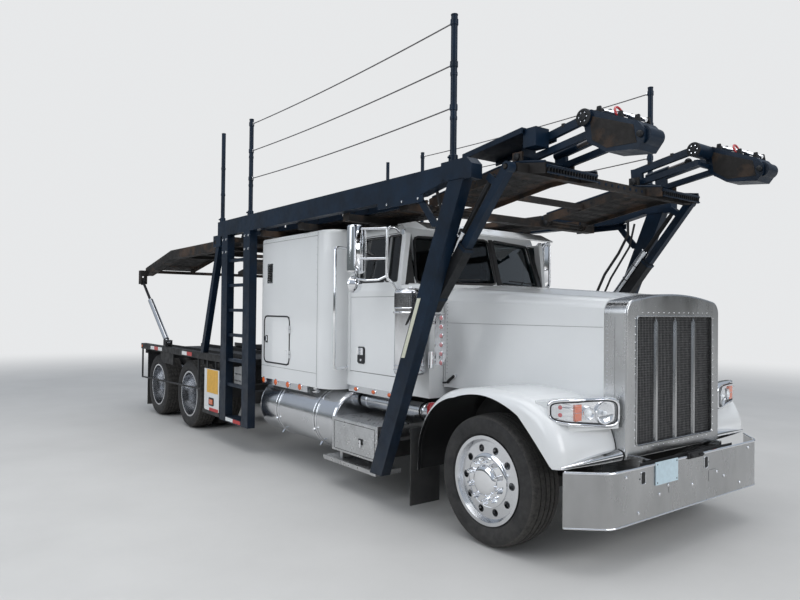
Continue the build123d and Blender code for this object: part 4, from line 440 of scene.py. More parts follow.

# Front: mesh, uprights and rim of the grille with a sheet of painted shade behind it, rivets of the nose
p = Piece("grille_mesh", "hood", DARK_MESH, BRUSHED, SHADE_AND_DARK_PARTS)
columns, rows = 54, 48
half, low, high = 0.487, 0.746, 1.606
wire, depth, behind = 0.0033, 0.005, MESH_Y + 0.002
for i in range(columns + 1):
    x = -half + 2 * half * i / columns
    p.prism([(x - wire, MESH_Y), (x + wire, MESH_Y), (x, MESH_Y + depth)], "z", low, high)
for j in range(rows + 1):
    z = low + (high - low) * j / rows
    p.prism([(behind, z - wire), (behind, z + wire), (behind + depth, z)], "x", -half, half)
p.use(1)
for x in (-0.2435, 0.0, 0.2435):
    section = ((-0.0155, 0.0), (-0.01, -0.016), (0.01, -0.016), (0.0155, 0.0))
    tip = [(x, MESH_Y - 0.004, 1.604)] * 4
    p.rings([[(x + dx, MESH_Y + dy, z) for dx, dy in section] for z in (0.748, 1.56)] + [tip])
p.tube([(x, -0.744, z) for x, z in rounded(-0.467, 0.467, 0.766, 1.586, 0.022, 5)], 0.006, n=8, loop=True)
# Near-black sheet behind the mesh: painted shade of the space behind the grille
p.use(2)
p.box((-0.5, 0.5), (-0.7, -0.694), (0.72, 1.63))
p.done(weld=False, replaces=("grille",))

p = Piece("nose_rivets", "hood", CHROME, SEAL)
side_x, front_y, low = 0.601, -0.7425, 0.72
for s in (-1, 1):
    p.use(0)
    for k in range(31):
        p.ball((s * side_x, -0.592, low + 0.0285 * k), 0.0034, n=8)
        p.ball((s * side_x, -0.724, low + 0.0285 * k), 0.0022, n=6)
    for k in range(17):
        p.ball((s * 0.506, front_y, 0.745 + 0.053 * k), 0.0034, n=8)
    p.use(1)
    p.box((s * 0.6001, s * 0.6005), (-0.6515, -0.6502), (0.69, 1.6))
p.use(0)
for k in range(14):
    for z in (1.632, 0.722):
        p.ball((-0.42 + 0.0646 * k, front_y, z), 0.0032, n=8)
p.done(weld=False)

# Headlamps: a lens and bezel that wrap round the front of the white housing
LAMP_PATH = ((0.63, -0.7065), (0.82, -0.6635), (0.95, -0.6345), (1.005, -0.6215), (1.035, -0.59),
             (1.075, -0.529), (1.105, -0.483), (1.118, -0.463))


def lamp_point(s, a, z, out=0.0):
    """Place at a distance a along the lamp's front, out from it; its outer end stands clear of the fender."""
    out += 0.04 * min(1, max(0, a - 0.28) / 0.2) ** 1.5
    for (x0, y0), (x1, y1) in zip(LAMP_PATH, LAMP_PATH[1:]):
        length = sqrt((x1 - x0) ** 2 + (y1 - y0) ** 2)
        if a <= length or (x1, y1) == LAMP_PATH[-1]:
            t = a / length
            nx, ny = -(y1 - y0) / length, (x1 - x0) / length
            return Vector((s * (x0 + t * (x1 - x0) - out * nx), y0 + t * (y1 - y0) - out * ny, z))
        a -= length


def lamp_outline(shrink):
    """Rounded outline of a lamp, as distances along its front and heights; it is less tall further out."""
    middle, half_width, height = 0.268, 0.245, 0.99
    outline = []
    for c, d in circle(64):
        across = (half_width - shrink) * squared(c, 0.42)
        q = across / half_width
        half = 0.07 - 0.012 * q - shrink
        outline.append((middle + across, height + 0.014 * q + half * squared(d, 0.42)))
    return outline


def lamp_patch(p, s, outline, outs):
    """Skin that shrinks from the outline to its middle while it moves out."""
    ma, mz = (sum(v) / len(outline) for v in zip(*outline))
    keep = [1 - i / len(outs) for i in range(len(outs))]
    p.rings([[lamp_point(s, ma + (a - ma) * k, mz + (z - mz) * k, out) for a, z in outline]
             for k, out in zip(keep, outs)], caps=False)


def round_lamp(p, s, a, z, r, depth):
    """A dished reflector standing on the lamp's back panel."""
    profile = ((1.0, 0.0), (1.0, depth), (0.93, depth), (0.8, depth * 0.55),
               (0.55, depth * 0.2), (0.25, 0.0006))
    p.rings([[lamp_point(s, a + r * k * c, z + r * k * d, 0.003 + rise) for c, d in circle(32)]
             for k, rise in profile], caps=False)


for side, s in SIDES:
    p = Piece(f"lamp_inside_{side}", "hood", CHROME, AMBER, RED, SEAL, BULB)
    lamp_patch(p, s, lamp_outline(0.004), (0.001, 0.0014, 0.0016, 0.0016, 0.0016, 0.0016))
    round_lamp(p, s, 0.13, 0.978, 0.072, 0.016)
    round_lamp(p, s, 0.265, 0.985, 0.044, 0.018)
    p.use(4)
    p.ball(lamp_point(s, 0.13, 0.978, 0.012), 0.016, n=16)
    p.ball(lamp_point(s, 0.265, 0.985, 0.006), 0.027, n=20)
    p.use(1)
    for low, high in ((0.94, 0.99), (0.994, 1.044)):
        corners = ((0.322, low), (0.38, low), (0.38, high), (0.322, high))
        p.rings([[lamp_point(s, a, z, out) for a, z in corners] for out in (0.002, 0.012)])
    p.use(2)
    for z in (0.98, 1.028):
        p.lathe(lamp_point(s, 0.455, z, 0.001), lamp_point(s, 0.455, z, 1) - lamp_point(s, 0.455, z, 0),
                [(0.0, 0.014), (0.006, 0.013), (0.009, 0.008), (0.01, 0.0005)], n=20)
    p.use(3)
    p.tube([lamp_point(s, a, z, 0.01) for a, z in lamp_outline(0.0)], 0.0045, n=8, loop=True)
    p.done(weld=False)
    p = Piece(f"lamp_lens_{side}", "hood", CLEAR)
    lamp_patch(p, s, lamp_outline(0.001), (0.01, 0.02, 0.025, 0.0275, 0.0285, 0.029, 0.0292, 0.0293))
    p.done(angle=60)
    p = Piece(f"lamp_bezel_{side}", "hood", CHROME)
    section = ((0.0, 0.004), (-0.002, 0.012), (-0.01, 0.017), (-0.019, 0.014), (-0.024, 0.005),
               (-0.023, -0.022), (-0.018, -0.06), (0.012, -0.074))
    p.rings([[lamp_point(s, max(0.002, a), z, out) for a, z in lamp_outline(shrink)]
             for shrink, out in section], caps=False)
    p.done(angle=50)
soft = nodes["headlamps"].modifiers.new("edges", "BEVEL")
soft.width = 0.02
soft.segments = 3
soft.limit_method = "ANGLE"
soft.angle_limit = radians(30)


# Bumper: rolled edges, bolts, tow hook bracket and a blank plate, painted shade in its openings and in the
# gap under the nose; moulding under the fenders
def bumper_edge(x, z):
    """Point just inside the bumper's face: flat in the middle, then an arc, then a straight end."""
    flat, arc, r = 0.8687, 0.1069, 0.16
    reach = abs(x) - flat
    if reach <= 0:
        y = BUMPER_Y
    elif reach <= arc:
        y = BUMPER_Y + r - sqrt(r ** 2 - reach ** 2)
    else:
        y = -0.831 + 0.8973 * (reach - arc)
    return x, y + 0.002, z


p = Piece("bumper_trim", "chassis", CHROME, SHADE_AND_DARK_PARTS, PLATE_BLUE, BRUSHED)
for z, r in ((0.643, 0.009), (0.304, 0.0065)):
    p.tube([bumper_edge(-1.148 + 2.296 * k / 72, z) for k in range(73)], r, n=8)
bolts = ((0.793, 0.605), (0.424, 0.443), (0.32, 0.487), (0.66, 0.36))
for x, z in [(-0.015, 0.447), *((s * x, z) for s in (-1, 1) for x, z in bolts)]:
    p.lathe((x, BUMPER_Y, z), -Y, [(0.0, 0.012), (0.004, 0.012), (0.008, 0.008), (0.01, 0.0005)], n=16)
p.use(1)
p.box((-0.08, 0.115), (-0.884, -0.87), (0.628, 0.668))
p.ball((-0.045, -0.888, 0.648), 0.016, n=12)
p.tube([(0.06, -0.884, 0.648), (0.075, -0.896, 0.64), (0.1, -0.894, 0.648)], 0.006, n=8)
# Dark ovals inside chrome rims: painted shade in the bumper's openings
for x in (-0.608, 0.172):
    loop = [(x + 0.026 * squared(c, 0.4), 0.575 + 0.04 * squared(d, 0.4)) for c, d in circle(28, 0.5)]
    p.rings([[(u, BUMPER_Y - out, z) for u, z in loop] for out in (-0.0005, 0.0012)])
    p.use(0)
    p.tube([(u, BUMPER_Y - 0.0015, z) for u, z in loop], 0.0025, n=6, loop=True)
    p.use(1)
    p.ball((x + (0.035 if x > 0 else -0.035), BUMPER_Y - 0.0005, 0.572), 0.006, scale=(1, 0.5, 1), n=8)
# Near-black sheet in the gap between the nose and the bumper: painted shade
for s in (-1, 1):
    p.prism([(-0.5985 * s, 0.6), (0.0, 0.6), (0.0, 0.668), (-0.5985 * s, 0.66)], "y", -0.8455, -0.8425)
p.use(3)
for s in (-1, 1):
    plate = chamfered(0.209, 0.311, 0.432, 0.513, 0.006)
    p.prism([(s * x, z) for x, z in plate], "y", BUMPER_Y - 0.0002, BUMPER_Y - 0.0025)
p.use(2)
p.box((-0.473, -0.207), (-0.88, -0.873), (0.506, 0.656))
p.use(1)
for x in (-0.455, -0.225):
    for z in (0.522, 0.641):
        p.ball((x, -0.8795, z), 0.005, n=8)
p.done(bevel=0.002, weld=False)

p = Piece("fender_moulding", "hood", CHROME)
section = ((-0.716, 0.66), (-0.726, 0.672), (-0.73, 0.692), (-0.722, 0.712), (-0.704, 0.722), (-0.672, 0.728),
           (-0.664, 0.66))
rings = []
for t in (k / 12 for k in range(13)):
    thin = 1 - 0.72 * t ** 1.6
    back = -0.668 + 0.02 * t ** 2
    rings.append([(0.612 + 0.545 * t, back + (y + 0.668) * thin, 0.66 + (z - 0.662) * thin)
                  for y, z in section])
p.rings(rings)
p.mirror()
p.done(weld=False)


# Hood: seams, rear edge rivets, latches
def hood_x(y, out=0.0):
    """Half width of the hood's side at a place along it."""
    return 0.6 + 0.2 * (y + 0.565) / 1.413 + out


p = Piece("hood_trim", "hood", SEAL, RUBBER, CHROME)
for ends, z0, z1 in (((0.835, -0.56), 1.5285, 1.5305), ((0.8325, 0.8345), 1.06, 1.7)):
    section = ((-0.002, z0), (0.0012, z0), (0.0012, z1), (-0.002, z1))
    p.rings([[(hood_x(y, out), y, z) for out, z in section] for y in ends])
for k in range(20):
    p.ball((hood_x(0.815, 0.001), 0.815, 1.12 + 0.03 * k), 0.0032, n=8)
p.use(1)
p.tube([(hood_x(0.8, 0.01), 0.8, 1.04), (hood_x(0.77, 0.022), 0.77, 1.062),
        (hood_x(0.72, 0.018), 0.722, 1.1)], 0.012, n=10)
p.tube([(0.818, 0.838, 1.035), (0.822, 0.8, 1.04)], 0.008, n=8)
p.use(2)
p.lathe((hood_x(0.72), 0.722, 1.1), X, [(0.0, 0.016), (0.018, 0.015), (0.021, 0.0005)], n=16)
p.mirror()
p.done(weld=False)


# Cab side: marker lamps, lamp panel, air cleaner rings, grab rails, window seals, handles
def skin(z, out=0.0):
    """Half width of the cab's side at a height."""
    return CAB_X - 0.07 * max(0, z - 1.8) / 0.595 + out


def marker(p, x, y, z, r=0.03, squeeze=0.62):
    """Oval marker lamp: chrome rim and a domed lens."""
    def ring(scale, out):
        return [(x + out, y + scale * r * c, z + scale * r * squeeze * d) for c, d in circle(24)]
    p.use(0)
    p.rings([ring(1.18, 0.0), ring(1.18, 0.006), ring(1.0, 0.009), ring(0.96, 0.004)], caps=False)
    p.use(1)
    p.rings([ring(0.98, 0.003), ring(0.95, 0.01), ring(0.75, 0.016), ring(0.4, 0.019), ring(0.02, 0.02)])


p = Piece("marker_lamps", "chassis", CHROME, AMBER)
for y in (1.935, 1.645, 1.399, 1.153):
    marker(p, CAB_X - 0.004, y, 0.88)
for y in (3.486, 3.194, 2.919, 2.661):
    marker(p, SLEEPER_X - 0.004, y, 0.838, r=0.036, squeeze=0.85)
p.mirror()
p.done(weld=False)

p = Piece("lamp_panel", "chassis", POLISHED, RED_CLEAR, CHROME, RUBBER)
face, low, high = 0.938, 1.184, 1.608
plate = [(0.716, low), (0.778, low), (0.778, high), (0.676, high), (0.676, 1.25)]
p.prism(plate, "x", face - 0.004, face)
p.box((face - 0.004, 0.97), (0.772, 0.776), (low, high))
for z in (1.24, 1.52):
    p.box((0.955, 0.985), (0.772, 0.83), (z, z + 0.03))
for k in range(6):
    spot = (face, 0.725, 1.212 + 0.072 * k)
    p.use(2)
    p.lathe(spot, X, [(0.0, 0.023), (0.004, 0.023), (0.006, 0.019)], n=20)
    p.use(1)
    p.lathe(spot, X, [(0.004, 0.019), (0.01, 0.016), (0.013, 0.009), (0.014, 0.0005)], n=20)
p.use(2)
p.bar((0.985, 0.8, 1.165), (0.985, 0.8, 1.3), 0.022)
# Dark strip between the air cleaner and the cab
p.use(3)
dark_strip = [(1.0, 1.075), (1.03, 1.1), (1.03, 1.145), (1.0, 1.165), (0.965, 1.165), (0.965, 1.085)]
p.prism(dark_strip, "z", 1.15, 1.56)
p.mirror()
p.done(bevel=0.002, weld=False)

p = Piece("air_cleaner_rings", "chassis", CHROME, DARK_MESH)
x, y = 1.086, 0.945
for z, r, thick in ((1.15, 0.131, 0.006), (1.183, 0.131, 0.006), (1.612, 0.131, 0.008), (1.648, 0.131, 0.006),
                    (1.772, 0.129, 0.007)):
    p.hoop((x, y, z), r, thick, 48, v=Y)
p.lathe((x, y, 1.795), Z, [(0.0, 0.104), (0.008, 0.1), (0.014, 0.07), (0.018, 0.012), (0.03, 0.01),
                           (0.032, 0.0005)], n=48)
p.lathe((x, y, 1.106), -Z, [(0.0, 0.07), (0.02, 0.06), (0.055, 0.024), (0.075, 0.022), (0.077, 0.0005)], n=40)
p.use(1)
for c, d in circle(56):
    wire = [(x + 0.1306 * c, y + 0.1306 * d, z) for z in (1.655, 1.765)]
    p.bar(*wire, 0.0022, n=5)
for k in range(5):
    p.hoop((x, y, 1.675 + 0.02 * k), 0.1308, 0.0022, 40, v=Y, sides=5)
p.use(0)
for dy in (-0.04, 0.04):
    p.bar((1.2, y + dy, 1.612), (1.224, y + dy, 1.612), 0.008, n=8)
p.mirror()
p.done(weld=False)

p = Piece("grab_rails", "chassis", CHROME)
low, high = 1.07, 2.22
p.tube([(0.955, 2.11, high), (1.075, 2.078, high + 0.002), (1.108, 2.066, high - 0.006),
        (1.118, 2.062, high - 0.03), (1.118, 2.062, low + 0.03), (1.108, 2.066, low + 0.006),
        (1.075, 2.078, low - 0.002), (0.955, 2.11, low)], 0.0155, n=14)
for z in (high, low):
    p.bar((0.945, 2.114, z), (0.967, 2.108, z), 0.034, n=20)
p.mirror()
p.done(weld=False)

for side, s in SIDES:
    p = Piece(f"door_trim_{side}", f"door_{side}", SEAL, CHROME, RUBBER)
    p.box((s * (CAB_X - 0.001), s * (CAB_X + 0.0012)), (1.262, 2.038), (1.747, 1.75))
    for y0, y1 in ((1.342, 1.478), (1.532, 1.938)):
        window = rounded(y0, y1, 1.902, 2.278, 0.018, 4)
        p.tube([(s * skin(z, 0.001), y, z) for y, z in window], 0.0065, n=8, loop=True)
    p.use(2)
    cup = [(1.792, 1.14), (1.812, 1.125), (1.892, 1.125), (1.912, 1.14), (1.912, 1.268), (1.892, 1.284),
           (1.812, 1.284), (1.792, 1.268)]
    p.prism(cup, "x", s * 0.949, s * 0.957)
    p.use(1)
    handle = [(1.806, 1.208), (1.898, 1.208), (1.898, 1.262), (1.886, 1.274), (1.818, 1.274), (1.806, 1.262)]
    p.prism(handle, "x", s * 0.956, s * 0.974)
    p.lathe((s * 0.957, 1.852, 1.16), s * X, [(0.0, 0.014), (0.004, 0.013), (0.005, 0.0005)], n=20)
    p.done(bevel=0.0025, weld=False)


# Mirrors: a rounded head on a C-shaped tube, and the round spot mirror under it
def on_side(s, *points):
    return [(s * x, y, z) for x, y, z in points]


for side, s in SIDES:
    p = Piece(f"mirror_{side}", f"door_{side}", CHROME, MIRROR)
    cx, cy = 1.225, 1.545
    plan = [(0.082 * cos(a), 0.058 * squared(sin(a), 0.7)) for a in (pi + pi * k / 16 for k in range(17))]
    plan += [(0.082, 0.022), (-0.082, 0.022)]
    head = ((1.945, 0.55), (1.953, 0.86), (1.968, 1.0), (2.352, 1.0), (2.368, 0.86), (2.376, 0.55))
    p.rings([[(s * (cx + k * x), cy + k * y, z) for x, y in plan] for z, k in head])
    for z in (2.075, 2.335):
        p.tube(on_side(s, (cx, cy - 0.04, z), (cx - 0.05, cy - 0.075, z), (1.06, 1.315, z)), 0.011)
    p.tube(on_side(s, (0.935, 1.3, 2.318), (0.985, 1.292, 2.345), (1.04, 1.296, 2.348), (1.064, 1.308, 2.325),
                   (1.064, 1.308, 1.925), (1.05, 1.304, 1.895), (1.005, 1.296, 1.862), (0.95, 1.298, 1.8)),
           0.0125, n=12)
    p.tube(on_side(s, (1.064, 1.308, 1.925), (1.1, 1.38, 1.892), (1.17, 1.49, 1.888), (1.215, 1.535, 1.9)),
           0.011)
    p.tube(on_side(s, (cx - 0.055, cy - 0.062, 1.9), (cx - 0.055, cy - 0.068, 2.2),
                   (cx - 0.05, cy - 0.066, 2.335)), 0.008, n=8)
    for z in (2.318, 1.8):
        p.bar(*on_side(s, (skin(z, -0.004), 1.3, z), (skin(z, 0.01), 1.3, z)), 0.026)
    p.lathe((s * cx, 1.572, 1.852), -Y, [(0.0, 0.074), (0.01, 0.077), (0.024, 0.07), (0.044, 0.05),
                                         (0.058, 0.024), (0.062, 0.0005)], n=40)
    p.bar((s * cx, cy, 1.9), (s * cx, cy, 1.96), 0.009, n=10)
    p.use(1)
    p.box((s * (cx - 0.07), s * (cx + 0.07)), (cy + 0.0215, cy + 0.025), (1.975, 2.345))
    p.lathe((s * cx, 1.572, 1.852), Y, [(0.0, 0.07), (0.004, 0.06), (0.008, 0.03), (0.009, 0.0005)], n=40)
    p.done(bevel=0.002, weld=False, replaces=(f"mirror_{side}",))

# Windscreen: gaskets, wipers, middle pillar cover, corner panels
SCREEN_LEAN = 0.29


def pane(s):
    """Origin, in-plane axes and normal of a windscreen pane."""
    across = Vector((s, SCREEN_LEAN, 0))
    normal = Vector((0, SCREEN_LEAN, 1)).cross(across)
    normal = (normal if normal.y < 0 else -normal).normalized()
    across.normalize()
    up = normal.cross(across)
    return Vector((0, 1.0, 1.85)), across, up if up.z > 0 else -up, normal


def gasket_line(corners, inset, reach):
    """Closed line through a point inside each corner and points on both its edges."""
    loop = []
    for k, (u, v) in enumerate(corners):
        for end in (corners[k - 1], None, corners[(k + 1) % 4]):
            if end is None:
                loop.append((u + (inset if u < 0.4 else -inset), v + (inset if v < 0.2 else -inset)))
            else:
                step = reach / sqrt((end[0] - u) ** 2 + (end[1] - v) ** 2)
                loop.append((u + (end[0] - u) * step, v + (end[1] - v) * step))
    return loop


p = Piece("screen_trim", "chassis", SEAL, RUBBER)
for s in (-1, 1):
    origin, across, up, normal = pane(s)

    def spot(u, v, out):
        return origin + across * u + up * v + normal * out

    lean = -up.x * s / abs(across.x)
    corners = ((0.032 + lean * 0.022, 0.022), (0.83, 0.022), (0.81, 0.455), (0.032 + lean * 0.455, 0.455))
    p.use(0)
    p.tube([spot(u, v, 0.002) for u, v in gasket_line(corners, 0.012, 0.04)], 0.011, n=8, loop=True)
    p.use(1)
    p.tube([spot(0.2 + 0.055 * k, 0.062 - 0.0012 * k, 0.016) for k in range(11)], 0.0055, n=6)
    p.tube([spot(0.3, -0.035, 0.03), spot(0.36, 0.0, 0.032), spot(0.47, 0.058, 0.024)], 0.006, n=6)
    p.bar(spot(0.3, -0.055, 0.03), spot(0.3, -0.03, 0.03), 0.014, n=12)
p.use(0)
p.prism([(-0.03, 0.998), (0.03, 0.998), (0.018, 0.982), (-0.018, 0.982)], "z", 1.87, 1.872)
section = ((-0.026, 0.012), (-0.014, -0.004), (0.014, -0.004), (0.026, 0.012))
p.rings([[(x, 0.99 + dy + SCREEN_LEAN * (z - 1.85), z) for x, dy in section] for z in (1.862, 2.295)])
for s in (-1, 1):
    rings = []
    for t in (k / 8 for k in range(9)):
        z = 1.868 + 0.424 * t
        near, far = 0.812 - 0.02 * t, skin(z, -0.022)
        section = ((near, -0.001), (near, -0.006), (far, -0.006), (far, -0.001))
        rings.append([(s * x, 1.0 + SCREEN_LEAN * (x + z - 1.85) + dy, z) for x, dy in section])
    p.rings(rings)
p.done(weld=False)

# Sleeper: seams, locker seal and latch, vent, rivets
p = Piece("sleeper_trim", "chassis", SEAL, CHROME, RUBBER)
x = SLEEPER_X
seam = (2.335, 3.545)
for y, z in ((seam, (2.3505, 2.3535)), (seam, (1.0005, 1.003)), ((2.3345, 2.3375), (0.87, 2.395))):
    p.box((x - 0.001, x + 0.0012), y, z)
locker = rounded(2.965, 3.425, 1.105, 1.485, 0.064, 7)
p.tube([(x + 0.0005, y, z) for y, z in locker], 0.0075, n=8, loop=True)
p.use(2)
for k in range(7):
    z = 1.93 + 0.026 * k
    slat = [(x - 0.03, z), (x - 0.004, z + 0.004), (x - 0.002, z + 0.018), (x - 0.028, z + 0.012)]
    p.prism(slat, "y", 3.304, 3.416)
p.use(1)
p.tube([(x + 0.001, y, z) for y, z in ((3.3, 1.91), (3.42, 1.91), (3.42, 2.12), (3.3, 2.12))], 0.005, n=8,
       loop=True)
for y, z in [(2.38 + 0.0575 * k, 2.372) for k in range(21)] + [(2.352, 0.93 + 0.0725 * k) for k in range(20)]:
    p.ball((x + 0.0008, y, z), 0.0035, n=8)
p.mirror()
p.done(weld=False)
for side, s in SIDES:
    p = Piece(f"locker_latch_{side}", f"locker_door_{side}", RUBBER, CHROME)
    p.box((s * (SLEEPER_X - 0.001), s * (SLEEPER_X + 0.006)), (3.405, 3.455), (1.255, 1.335))
    p.use(1)
    handle = [(3.412, 1.275), (3.448, 1.275), (3.448, 1.32), (3.44, 1.328), (3.42, 1.328), (3.412, 1.32)]
    p.prism(handle, "x", s * (SLEEPER_X + 0.005), s * (SLEEPER_X + 0.018))
    p.done(bevel=0.002, weld=False)

# Tanks: end rings, straps with clamps, caps; air tank bands and pipes
p = Piece("tank_trim", "chassis", CHROME, SEAL, BLACK)
cx, cz, r = 0.882, 0.562, 0.288
for y in (2.002, 3.513):
    p.hoop((cx, y, cz), r - 0.004, 0.0065, 56)
for y in (2.3, 2.355, 3.09, 3.145):
    p.hoop((cx, y, cz), r + 0.003, 0.0045, 56)
for y in (2.3275, 3.1175):
    p.use(0)
    p.bar((cx + 0.285, y, cz - 0.1), (cx + 0.3, y, cz - 0.1), 0.016, n=6)
    p.bar((cx + 0.2, y - 0.01, cz - 0.225), (cx + 0.225, y - 0.01, cz - 0.255), 0.012, n=6)
    p.use(1)
    p.hoop((cx, y, cz), r + 0.0035, 0.0035, 56)
p.use(0)
out = Vector((cos(radians(62)), 0, sin(radians(62))))
for y in (2.55, 3.33):
    p.lathe(Vector((cx, y, cz)) + out * (r - 0.01), out,
            [(0.0, 0.052), (0.022, 0.052), (0.026, 0.046), (0.026, 0.03), (0.046, 0.028), (0.05, 0.018),
             (0.05, 0.0005)], n=32)
air_x, air_z, air_r = 0.815, 0.77, 0.072
for y in (1.02, 1.32, 1.86):
    p.hoop((air_x, y, air_z), air_r + 0.001, 0.0055, 36)
p.use(1)
for y in (1.025, 1.06):
    p.hoop((air_x, y, air_z), air_r + 0.002, 0.0065, 36)
p.use(2)
for y in (2.4, 3.2):
    p.tube([(0.6, y, 0.84), (0.74, y, 0.86), (0.8, y, 0.835)], 0.01, n=8)
p.mirror()
p.done(weld=False)


# Step boxes: raised diamonds, the lid's seam and its latch
def tread_diamonds(p, start, side, up, columns, rows, pitch):
    """Diamonds in rows along y and columns along side, each turned against the next."""
    size, rise, row_pitch = 0.0105, 0.0022, 0.0248
    for i in range(columns):
        for j in range(rows):
            turned = side if (i + j) % 2 else -side
            long, short = (Y + turned) * size / sqrt(2), (Y - turned) * size * 0.34 / sqrt(2)
            centre = Vector(start) + side * pitch * i + Y * row_pitch * j
            v = [p.bm.verts.new(centre + d) for d in (long, short, -long, -short, up * rise)]
            for k in range(4):
                p.face((v[k], v[(k + 1) % 4], v[4]))


p = Piece("tread_diamonds", "chassis", TREAD_PLATE, BLACK, CHROME)
lid, face, front = 0.64, 1.185, 1.262
tread_diamonds(p, (0.615, front, lid + 0.0002), X, Z, 23, 29, 0.0248)
tread_diamonds(p, (face + 0.0002, front, 0.355), Z, X, 12, 29, 0.0248)
tread_diamonds(p, (0.947, front, 0.2662), X, Z, 10, 34, 0.0255)
p.use(1)
p.tube([(face + 0.0012, y, z) for y, z in ((1.29, 0.36), (1.935, 0.36), (1.935, 0.612), (1.29, 0.612))],
       0.0025, n=6, loop=True)
p.box((face - 0.001, face + 0.006), (1.47, 1.53), (0.455, 0.505))
p.use(2)
p.bar((face + 0.005, 1.5, 0.48), (face + 0.013, 1.5, 0.48), 0.017, n=20)
p.prism([(1.485, 0.47), (1.515, 0.47), (1.508, 0.43), (1.492, 0.43)], "x", face + 0.005, face + 0.011)
p.use(0)
p.tube([(0.62, front - 0.01, lid + 0.0025), (face - 0.001, front - 0.01, lid + 0.0025),
        (face + 0.0015, front - 0.007, lid), (face + 0.0015, 1.97, lid)],
       0.004, n=8)
p.mirror()
p.done(weld=False, angle=20)

# Rack: safety wires between the poles, pole caps and collars
p = Piece("safety_wires", "chassis", WIRE, NAVY, CHROME)
front_pole, rear_pole = 0.256, 3.68
for z in (3.715, 3.41, 3.098):
    p.use(0)
    p.tube([(RAIL_X, front_pole + (rear_pole - front_pole) * t, z - 0.112 * t * (1 - t))
            for t in (k / 16 for k in range(17))], 0.0055, n=6)
    for y, inward in ((front_pole, 0.03), (rear_pole, -0.03)):
        p.use(1)
        p.bar((RAIL_X, y, z - 0.02), (RAIL_X, y, z + 0.02), 0.029)
        p.use(2)
        p.hoop((RAIL_X, y + inward, z), 0.014, 0.004, 12, u=Y, sides=6)
p.use(1)
for y, foot in ((front_pole, 2.7), (rear_pole, 2.68), (4.48, 2.68)):
    p.lathe((RAIL_X, y, 3.765), Z, [(0.0, 0.026), (0.008, 0.026), (0.012, 0.016), (0.014, 0.0005)], n=20)
    p.lathe((RAIL_X, y, foot), Z, [(0.0, 0.034), (0.05, 0.034), (0.056, 0.026)], n=20)
    p.bar((RAIL_X + 0.026, y, foot + 0.03), (RAIL_X + 0.05, y, foot + 0.03), 0.008, n=6)
    for z in (3.02, 3.34):
        p.bar((RAIL_X, y, z - 0.012), (RAIL_X, y, z + 0.012), 0.027)
p.mirror()
p.done(weld=False)


# Tapes, reflectors and side panel signs
def tape(p, x, y0, y1, z0, z1, parts, first=0):
    """A striped strip on an upright face at x."""
    step = (y1 - y0) / parts
    for k in range(parts):
        p.use((first + k) % 2)
        p.box((x - 0.001, x + 0.0012), (y0 + step * k + 0.0005, y0 + step * (k + 1) - 0.0005), (z0, z1))


p = Piece("rack_tapes", "chassis", WHITE_TAPE, RED_TAPE, PALE_TAPE, WHITE, YELLOW, BLACK, AMBER)
tape(p, 1.285, 6.62, 7.16, 0.985, 1.035, 3)
tape(p, 1.285, 5.38, 5.76, 0.985, 1.035, 2, first=1)
tape(p, 1.296, 3.78, 4.2, 0.302, 0.342, 2, first=1)
p.use(2)
leg_lean = (0.178 - 1.12) / (2.56 - 0.29)
z0, z1 = 1.262, 1.722
y0, y1 = (1.12 + leg_lean * (z - 0.29) for z in (z0, z1))
p.prism([(y0 + 0.03, z0), (y0 + 0.072, z0), (y1 + 0.072, z1), (y1 + 0.03, z1)], "x", 1.2945, 1.2965)
p.use(3)
panel = 1.276
p.box((panel - 0.0015, panel + 0.0005), (4.455, 4.935), (0.352, 0.864))
p.use(4)
p.box((panel, panel + 0.003), (4.49, 4.845), (0.57, 0.858))
p.use(5)
p.prism(chamfered(4.615, 4.78, 0.41, 0.51, 0.015), "x", panel, panel + 0.005)
p.use(6)
p.box((panel + 0.005, panel + 0.012), (4.64, 4.755), (0.43, 0.49))
p.use(1)
p.box((panel, panel + 0.0025), (4.475, 4.76), (0.345, 0.385))
p.use(0)
p.box((panel, panel + 0.0025), (4.762, 4.905), (0.345, 0.385))
p.use(3)
p.box((1.0, 1.004), (4.405, 4.64), (0.655, 0.91))
p.use(5)
for k in range(5):
    for z in (0.72, 0.805):
        p.ball((1.004, 4.44 + 0.042 * k, z), 0.012, scale=(0.3, 1, 1), n=10)
p.mirror()
p.done(weld=False)

